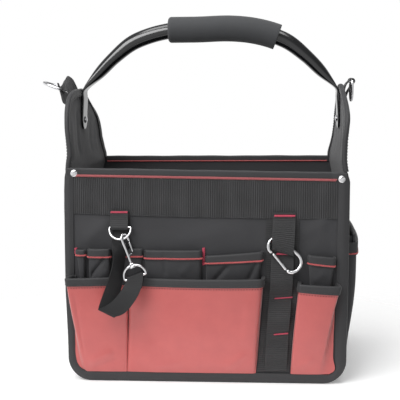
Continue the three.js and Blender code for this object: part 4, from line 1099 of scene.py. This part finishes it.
# Bent wire with softly rounded ends
def bentWire(name, points, radius, nodes, closed=False, count=72, body="bag", parts=()):
    bpy.ops.object.select_all(action="DESELECT")
    data = bpy.data.curves.new(name, "CURVE")
    data.dimensions = "3D"
    data.bevel_depth = radius * mm
    data.bevel_resolution = 4
    data.use_fill_caps = True
    runs = [(points, closed)] + [(part, False) for part in parts]
    for run, loop in runs:
        path = run if loop else throughPoints(run, count)
        spline = data.splines.new("POLY")
        spline.points.add(len(path) - 1)
        spline.points.foreach_set("co", np.column_stack([path * mm, np.ones(len(path))]).ravel())
        spline.use_cyclic_u = loop
        if not loop:
            nearEnd = np.minimum(lengthsAlong(path), lengthsAlong(path[::-1])[::-1]) / radius
            girth = np.sqrt(1 - (1 - np.clip(nearEnd, 0.05, 1)) ** 2)
            spline.points.foreach_set("radius", girth)
    piece = bpy.data.objects.new(name, data)
    bpy.context.scene.collection.objects.link(piece)
    piece.select_set(True)
    bpy.context.view_layer.objects.active = piece
    bpy.ops.object.convert(target="MESH")
    return settle(bpy.context.object, nickelPlate, body, nodes, 50)


carabiner = {
    "wire": 2.2, "gateWire": 1.9, "lean": 0.27, "depth": 4.4, "start": (76.9, 173.4), "end": (101, 161.3),
    "frame": [(78, 158.9), (74.4, 161.6), (73.3, 166.8), (75.6, 172.6), (79.9, 174.6), (84.6, 172.8),
              (92.3, 167.2), (101, 161.3), (108.6, 154.8), (111.3, 148.4), (109.2, 141.4), (103.4, 136.8),
              (98.2, 136.6), (94.4, 139)],
    "gate": [(78.6, 158), (94.1, 139.2)],
}
topLine = unit(np.array(carabiner["end"]) - np.array(carabiner["start"]))


# The carabiner hangs from its top line in the webbing loop, and its lower side leans out
def carabinerPoint(x, z):
    below = topLine[1] * (x - carabiner["start"][0]) - topLine[0] * (z - carabiner["start"][1])
    return onFront(x, carabiner["depth"] + carabiner["lean"] * below, z)


bentWire("carabinerFrame", [carabinerPoint(*p) for p in carabiner["frame"]], carabiner["wire"],
         ["carabiner_frame"], count=120)
bentWire("carabinerGate", [carabinerPoint(*p) for p in carabiner["gate"]], carabiner["gateWire"],
         ["carabiner_gate"], count=30, body="carabiner_gate")


# D ring: a straight bar and a round bow, with its corners evened out
def dRing(middle, alongBar, half, bow, bowSteps=60, barSteps=22, fullness=0.8):
    turns = np.linspace(0, math.pi, bowSteps)[:, None]
    arch = middle + half * np.cos(turns) * alongBar + np.sin(turns) ** fullness * bow
    bar = np.linspace(arch[-1], arch[0], barSteps)[1:-1]
    return evened(np.vstack([arch, bar]), 2, closed=True)


ringTab = {
    "x": -100.2, "half": 10.3, "rib": 1.8, "depth": 0.2,
    "rows": [(2.6, 208), (2.6, 196), (2.8, 188.4), (4.2, 185.4), (6.6, 185.2), (8, 187.4), (7.2, 190.2),
             (5.2, 196), (4.4, 202), (4.4, 208)],  # out, z
    "tackZ": 205.6, "tackShare": 0.92, "tackLift": 0.3,
    "tackStitch": {"height": 2.4, "pitch": 0.8, "thread": 0.45, "lean": 0.2, "material": crimsonThread},
}
ribbon("hookRingTab", [(*onFront(ringTab["x"], w, z), *xAxis) for w, z in ringTab["rows"]], ringTab["half"],
       bag["webbing"], ["hook_ring_tab"], ringTab["rib"], ringTab["depth"])
tackX = ringTab["x"] + np.linspace(-1, 1, tackPoints) * ringTab["half"] * ringTab["tackShare"]
tackOut = ringTab["rows"][-1][0] + bag["webbing"] / 2 + ringTab["tackLift"]
satin("ringTabTack", onFront(tackX, tackOut, ringTab["tackZ"]), facing, zAxis, **ringTab["tackStitch"])

hookRing = {"x": -98.9, "out": 5.4, "z": 188, "half": 12.7, "wire": 1.3, "foot": (12.2, 174.6)}
ringBar = onFront(hookRing["x"], hookRing["out"], hookRing["z"])
ringBow = onFront(hookRing["x"], *hookRing["foot"]) - ringBar
bentWire("hookDRing", dRing(ringBar, xAxis, hookRing["half"], ringBow), hookRing["wire"], ["hook_d_ring"],
         closed=True)

hook = {  # points aside and along from the swivel
    "origin": (-84.3, 21.5, 148.5), "axis": (-0.367, -0.146, 0.919), "side": (0.479, -0.868, 0.053),
    "wire": 1.5, "foot": 0.3, "shank": 14.6, "bend": 5.5, "bendAt": 29.2, "bendSteps": 16, "noseAt": 24.6,
    "lug": [(0, 8.4), (4, 8.9), (8.6, 9.8)],
    "gateWire": 1.2, "gate": [(10.2, 11.8), (10.9, 24.3)],
    "barrel": [(0, -7.4), (2.2, -7.2), (3.6, -6.2), (4, -5), (3.7, -3.8), (2.8, -3), (2.5, -2.5), (3.2, -2),
               (3.4, -1.3), (3, -0.5), (2.2, -0.1), (0, 0)],
}
hookOrigin = onFront(*hook["origin"])
hookAxis = unit(np.array(hook["axis"]) * (1, -1, 1))
hookSide = unit(np.array(hook["side"]) * (1, -1, 1))


def hookPoint(aside, along):
    return hookOrigin + hookSide * aside + hookAxis * along


hookPath = [(0, hook["foot"]), (0, hook["shank"])]
for turn in np.linspace(math.pi, 0, hook["bendSteps"]):
    hookPath.append((hook["bend"] * (1 + math.cos(turn)), hook["bendAt"] + hook["bend"] * math.sin(turn)))
hookPath.append((2 * hook["bend"], hook["noseAt"]))
bentWire("snapHook", [hookPoint(*p) for p in hookPath], hook["wire"], ["snap_hook"], count=110,
         parts=[[hookPoint(*p) for p in hook["lug"]]])
bentWire("snapHookGate", [hookPoint(*p) for p in hook["gate"]], hook["gateWire"], ["snap_hook_gate"],
         count=24, body="snap_hook_gate")


# Turned body about an axis, from radius and distance pairs
def turnedPiece(name, profile, centre, axis, nodes, sides=40, angle=35):
    notAlong = (0.3, 0.5, 0.8)  # any direction that no axis here has
    start = unit(np.cross(axis, notAlong))
    other = np.cross(axis, start)
    turn = np.linspace(0, 2 * math.pi, sides + 1)[None, :, None]
    radius, reach = np.array(profile, float).T[:, :, None, None]
    points = centre + reach * axis + radius * (np.cos(turn) * start + np.sin(turn) * other)
    return skinPiece(name, points, bright, nodes, angle)


turnedPiece("swivelBarrel", hook["barrel"], hookOrigin, hookAxis, [])
halfRing = {"place": (-79, 22, 132.2), "half": 13.2, "rise": 14, "wire": 1.5, "slant": 19.5}
slant = math.radians(halfRing["slant"])
barAlong = np.array((math.cos(slant), 0, math.sin(slant)))
halfBow = np.array((-barAlong[2], 0, barAlong[0])) * halfRing["rise"]
bentWire("swivelHalfRing", dRing(onFront(*halfRing["place"]), barAlong, halfRing["half"], halfBow),
         halfRing["wire"], ["swivel_half_ring"], closed=True)

strap = {
    "half": 10, "thick": 1.2, "rib": 1.3, "depth": 0.14,
    "rows": [  # x, out, z, slant and turn of the width in degrees
        (-98.5, 1.1, 198.4, 0, 0), (-98.5, 1.2, 186, 0, 0), (-98.6, 3.2, 176, 0, 6),
        (-98.4, 10, 166.5, -2, 26), (-98.4, 15.6, 157, -5, 50), (-99, 19, 147, -8, 55),
        (-100.8, 23.5, 135, -12, 48), (-103.4, 27.5, 122, -16, 36), (-107, 31, 109, -21, 20),
        (-110.4, 34, 98.5, -25, 6), (-111.8, 36, 93.4, -26, 0), (-111.2, 38.4, 92.6, -26.5, 0),
        (-109, 39.8, 94.2, -28, -2), (-103, 39.6, 96.5, -33, -4), (-96, 38, 101, -38, -6),
        (-89.5, 35, 108, -35, -8), (-84, 31.2, 116.5, -22, -8), (-80.6, 27.6, 124.5, -2, -5),
        (-79.2, 24.9, 131.6, 17, 0), (-79.9, 23.4, 134.6, 19.5, 0), (-79.9, 20.6, 134.6, 19.5, 0),
        (-79, 19.1, 132, 18, 0), (-79.6, 21, 127, 8, 0), (-81.2, 24.4, 120.6, -6, -4)],
}


def strapStation(x, w, z, slant, turn):
    s, t = math.radians(slant), math.radians(turn)
    return (*onFront(x, w, z), math.cos(s) * math.cos(t), math.sin(t), math.sin(s) * math.cos(t))


ribbon("tapeStrap", [strapStation(*row) for row in strap["rows"]], strap["half"], strap["thick"],
       ["tape_strap"], strap["rib"], strap["depth"], perRib=4, look=nylon)
print("hook group made")

# Handle: bent tube flattened at its ends, foam grip, rivets
handle = {
    "rows": [  # x, z, thickness, width, roundness of the section
        (160.3, 297, 2.2, 12, 0.5), (160.2, 299.5, 2.4, 20, 0.4), (160.1, 304, 2.4, 26, 0.35),
        (159.6, 318, 2.4, 28, 0.35), (158.5, 336, 2.4, 28, 0.35), (158.4, 344.6, 2.6, 28, 0.38),
        (154.4, 350.6, 5, 27.6, 0.45), (150.4, 355, 7.6, 27, 0.55), (142, 363.8, 12.8, 25, 0.8),
        (119.8, 386, 16.6, 22.4, 0.95), (95.3, 404.6, 19.2, 20, 1), (76, 412.3, 19.6, 19.6, 1),
        (52, 418, 19.6, 19.6, 1), (26, 420.6, 19.6, 19.6, 1), (0, 421.4, 19.6, 19.6, 1)],
    "sides": 48, "stations": 260,
}
leftRows = [(-x, 0, *others) for x, *others in handle["rows"][:-1]]
rightRows = [(x, 0, *others) for x, *others in handle["rows"]]
tubePath = throughPoints(leftRows + rightRows[::-1], handle["stations"])


def handleTube():
    along = unit(np.gradient(tubePath[:, :3], axis=0))
    outward = np.column_stack([-along[:, 2], 0 * along[:, 0], along[:, 0]])
    turn = np.linspace(0, 2 * math.pi, handle["sides"] + 1)
    cos, sin = np.cos(turn), np.sin(turn)
    thick, wide, square = tubePath[:, 3:].T[..., None]
    square = np.clip(square, 0.35, 1)
    reach = np.sign(cos) * np.abs(cos) ** square * thick / 2
    side = np.sign(sin) * np.abs(sin) ** square * wide / 2
    points = tubePath[:, None, :3] + reach[..., None] * outward[:, None] + side[..., None] * yAxis
    return skinPiece("handleTube", points, (glossBlackSteel, "black_steel"), ["handle_tube"])


handleTube()
grip = {  # a foam sleeve that stays straight on the left and follows the tube on the right
    "from": -51, "to": 85, "radius": 16, "bore": 10.3, "sides": 56, "z": 419.6, "round": 4,
    "bendFrom": -20, "bendTo": 40,
    "rightEdge": [(0.9, 0), (0.25, 0.2), (0, 0.9)],  # in from the end and from the radius
}


def handleGrip():
    start, end, radius, bore, edge = (grip[key] for key in ("from", "to", "radius", "bore", "round"))
    profile = [(start, bore)]
    for turn in np.linspace(0, math.pi / 2, 7):
        profile.append((start + edge * (1 - math.cos(turn)), radius - edge + edge * math.sin(turn)))
    profile += [(x, radius) for x in np.linspace(start + 6, end - 3, 60)]
    profile += [(end - inX, radius - inR) for inX, inR in grip["rightEdge"]]
    profile += [(x, bore) for x in np.linspace(end, start, 40)]
    x, reach = np.array(profile).T
    order = np.argsort(tubePath[:, 0])
    tubeX, tubeZ = tubePath[order, 0], tubePath[order, 2]
    straight = softStep((grip["bendTo"] - x) / (grip["bendTo"] - grip["bendFrom"]))
    middle = np.interp(x, tubeX, tubeZ)
    middle = middle + straight * (grip["z"] - middle)
    every = np.arange(start - 2, end + 3)
    slope = np.interp(x, every, np.gradient(np.interp(every, tubeX, tubeZ))) * (1 - straight)
    lean = unit(np.column_stack([-slope, 0 * slope, np.ones(len(slope))]))
    centre = np.column_stack([x, 0 * x, middle])
    turn = np.linspace(0, 2 * math.pi, grip["sides"] + 1)[None, :, None]
    around = np.cos(turn) * lean[:, None] + np.sin(turn) * yAxis
    points = centre[:, None] + reach[:, None, None] * around
    piece = skinPiece("handleGrip", points, (nitrileFoam, "foam_grip"), ["handle_grip"])


handleGrip()
rivets = {  # heads as radius and distance from the tab's inner and outer side
    "z": 308.5, "inner": 158.5, "outer": 164.8, "shank": 2.5,
    "innerHead": [(0, -2.2), (1.6, -2.1), (3.2, -1.5), (4.2, -0.7), (4.5, -0.1)],
    "outerHead": [(4.5, 0.1), (4.2, 0.6), (3, 1.2), (1.5, 1.5), (0, 1.55)],
}
cornerRivets = {
    "left": (-153.2, 251), "right": (157.8, 243.8), "out": 1.7, "radius": 4.4, "edge": 0.35, "dome": 2.6,
}
for where, sign in (("left", -1), ("right", 1)):
    inner, outer, shank = rivets["inner"], rivets["outer"], rivets["shank"]
    profile = [(radius, inner + reach) for radius, reach in rivets["innerHead"]]
    profile += [(shank, inner), (shank, outer)]
    profile += [(radius, outer + reach) for radius, reach in rivets["outerHead"]]
    turnedPiece("handleRivet" + where.capitalize(), profile, zAxis * rivets["z"], sign * xAxis,
                ["handle_rivet_" + where])
    radius, edge, dome = (cornerRivets[key] for key in ("radius", "edge", "dome"))
    profile = [(0, 0), (radius, 0)]
    for turn in np.linspace(0, math.pi / 2, 9):
        profile.append((radius * math.cos(turn), edge + (dome - edge) * math.sin(turn)))
    cornerX, cornerZ = cornerRivets[where]
    centre = np.array((cornerX, -(bag["halfDepth"] + cornerRivets["out"]), cornerZ))
    turnedPiece("cornerRivet" + where.capitalize(), profile, centre, facing, ["corner_rivet_" + where],
                angle=50)
print("handle made")

# Shoulder strap loops and their D rings
strapPoints = {
    "left": {"bar": (188, 347.4), "tilt": 20, "sleeve": (-40, 130), "twist": 1.1,
             "back": [(165.9, 318), (165.9, 326), (170, 331), (180, 334.4), (189, 339.6)],
             "front": [(182, 354.2), (176.6, 351), (172.4, 344), (169.2, 336.4), (167.8, 328), (167.8, 318)]},
    "right": {"bar": (176.2, 354.6), "tilt": -90, "sleeve": (175, -45), "twist": 0,
              "back": [(165.9, 318), (165.9, 333), (167.3, 338), (167.4, 345), (169.8, 351.4)],
              "front": [(174.8, 347), (171.6, 342), (169.2, 336), (167.9, 330), (167.8, 318)]},
}
strapRing = {"half": 14.8, "reach": 24, "wire": 1.85}
strapLoop = {"half": 12.5, "sleeve": 3.15, "sleeveSteps": 7, "rib": 1.8, "depth": 0.2}
for where, sign in (("left", -1), ("right", 1)):
    spec = strapPoints[where]
    barX, barZ = spec["bar"]
    path = list(spec["back"])
    for angle in np.radians(np.linspace(*spec["sleeve"], strapLoop["sleeveSteps"])):
        sleeve = strapLoop["sleeve"]
        path.append((barX + sleeve * math.cos(angle), barZ + sleeve * math.sin(angle)))
    path += spec["front"]
    twists = -spec["twist"] * np.sin(np.linspace(0, 2 * math.pi, len(path)))
    stations = [(sign * x, 0, z, 0, 1, twist) for (x, z), twist in zip(path, twists)]
    ribbon("strapLoop" + where.capitalize(), stations, strapLoop["half"], bag["webbing"],
           ["strap_loop_" + where], strapLoop["rib"], strapLoop["depth"])
    tilt = math.radians(spec["tilt"])
    bow = np.array((sign * math.cos(tilt), 0, math.sin(tilt))) * strapRing["reach"]
    wirePath = dRing(np.array((sign * barX, 0, barZ)), yAxis, strapRing["half"], bow)
    bentWire("strapRing" + where.capitalize(), wirePath, strapRing["wire"], ["strap_ring_" + where],
             closed=True, body="strap_ring_" + where)
print("strap points made")

# Studio: a pale floor that fades into a bright horizon, and soft boxes
studio = {
    "floor": 2.4, "solid": 0.19, "fade": 0.46,
    "boxes": [  # name, place, aim, size, watts
        ("keySoftbox", (-0.85, -1.25, 1.45), (0, 0, 0.25), (1.5, 1.0), 31),
        ("fillSoftbox", (1.3, -1.2, 0.7), (0, 0, 0.2), (0.8, 0.8), 1),
        ("topSoftbox", (0, -0.15, 1.7), (0, 0.1, 0.2), (1.4, 0.8), 14),
    ],
    "sky": [  # the sky's strength goes from one value to another along an axis, and these are multiplied
        ("Z", 0.15, 0.5, 1.0, 0.35),   # dimmer overhead
        ("X", 0.22, 0.7, 1.0, 0.5),    # dimmer on the right
        ("Z", -0.6, -0.4, 0.6, 1.0),   # dimmer below
        ("Y", -1.0, -0.6, 0.75, 1.0),  # dimmer behind the camera
    ],
}
paleFloor, floorTree, floorShader = newMaterial("paleFloor", {
    "Base Color": (0.97, 0.97, 0.97, 1), "Roughness": 0.8,
    "Emission Color": (1, 1, 1, 1), "Emission Strength": 0.2})
floorReach = addNode(floorTree, "ShaderNodeVectorMath", {"operation": "LENGTH"}, {0: objectPlace(floorTree)})
fadeRange = {"From Min": studio["solid"], "From Max": studio["fade"]}
floorFade = addNode(floorTree, "ShaderNodeMapRange", fadeRange, {"Value": floorReach.outputs["Value"]})
clear = addNode(floorTree, "ShaderNodeBsdfTransparent")
floorMix = addNode(floorTree, "ShaderNodeMixShader", None, {
    0: floorFade.outputs["Result"], 1: floorShader.outputs["BSDF"], 2: clear.outputs["BSDF"]})
floorTree.links.new(floorMix.outputs["Shader"], floorTree.nodes["Material Output"].inputs["Surface"])
bpy.ops.mesh.primitive_plane_add(size=studio["floor"])
floor = bpy.context.object
floor.name = "floor"
floor.data.materials.append(paleFloor)
for name, place, aim, size, power in studio["boxes"]:
    bpy.ops.object.light_add(type="AREA", location=place)
    light = bpy.context.object
    light.name = name
    light.data.shape = "RECTANGLE"
    light.data.size, light.data.size_y = size
    light.data.energy = power
    light.rotation_euler = (Vector(aim) - light.location).to_track_quat("-Z", "Y").to_euler()

world = bpy.data.worlds.new("studioSky")
world.use_nodes = True
bpy.context.scene.world = world
sky = world.node_tree
background = sky.nodes["Background"].inputs
direction = addNode(sky, "ShaderNodeTexCoord").outputs["Generated"]
axes = addNode(sky, "ShaderNodeSeparateXYZ", None, {0: direction}).outputs
product = None
for axis, fromMin, fromMax, toMin, toMax in studio["sky"]:
    shade = addNode(sky, "ShaderNodeMapRange", {
        "From Min": fromMin, "From Max": fromMax, "To Min": toMin, "To Max": toMax}, {"Value": axes[axis]})
    factors = {0: shade.outputs["Result"]}
    if product is not None:
        factors[1] = product
    product = addNode(sky, "ShaderNodeMath", {"operation": "MULTIPLY", 1: 1.0}, factors).outputs["Value"]
sky.links.new(product, background["Strength"])
background["Color"].default_value = (1, 1, 1, 1)
bpy.context.scene.view_settings.view_transform = "Standard"
print("studio set")
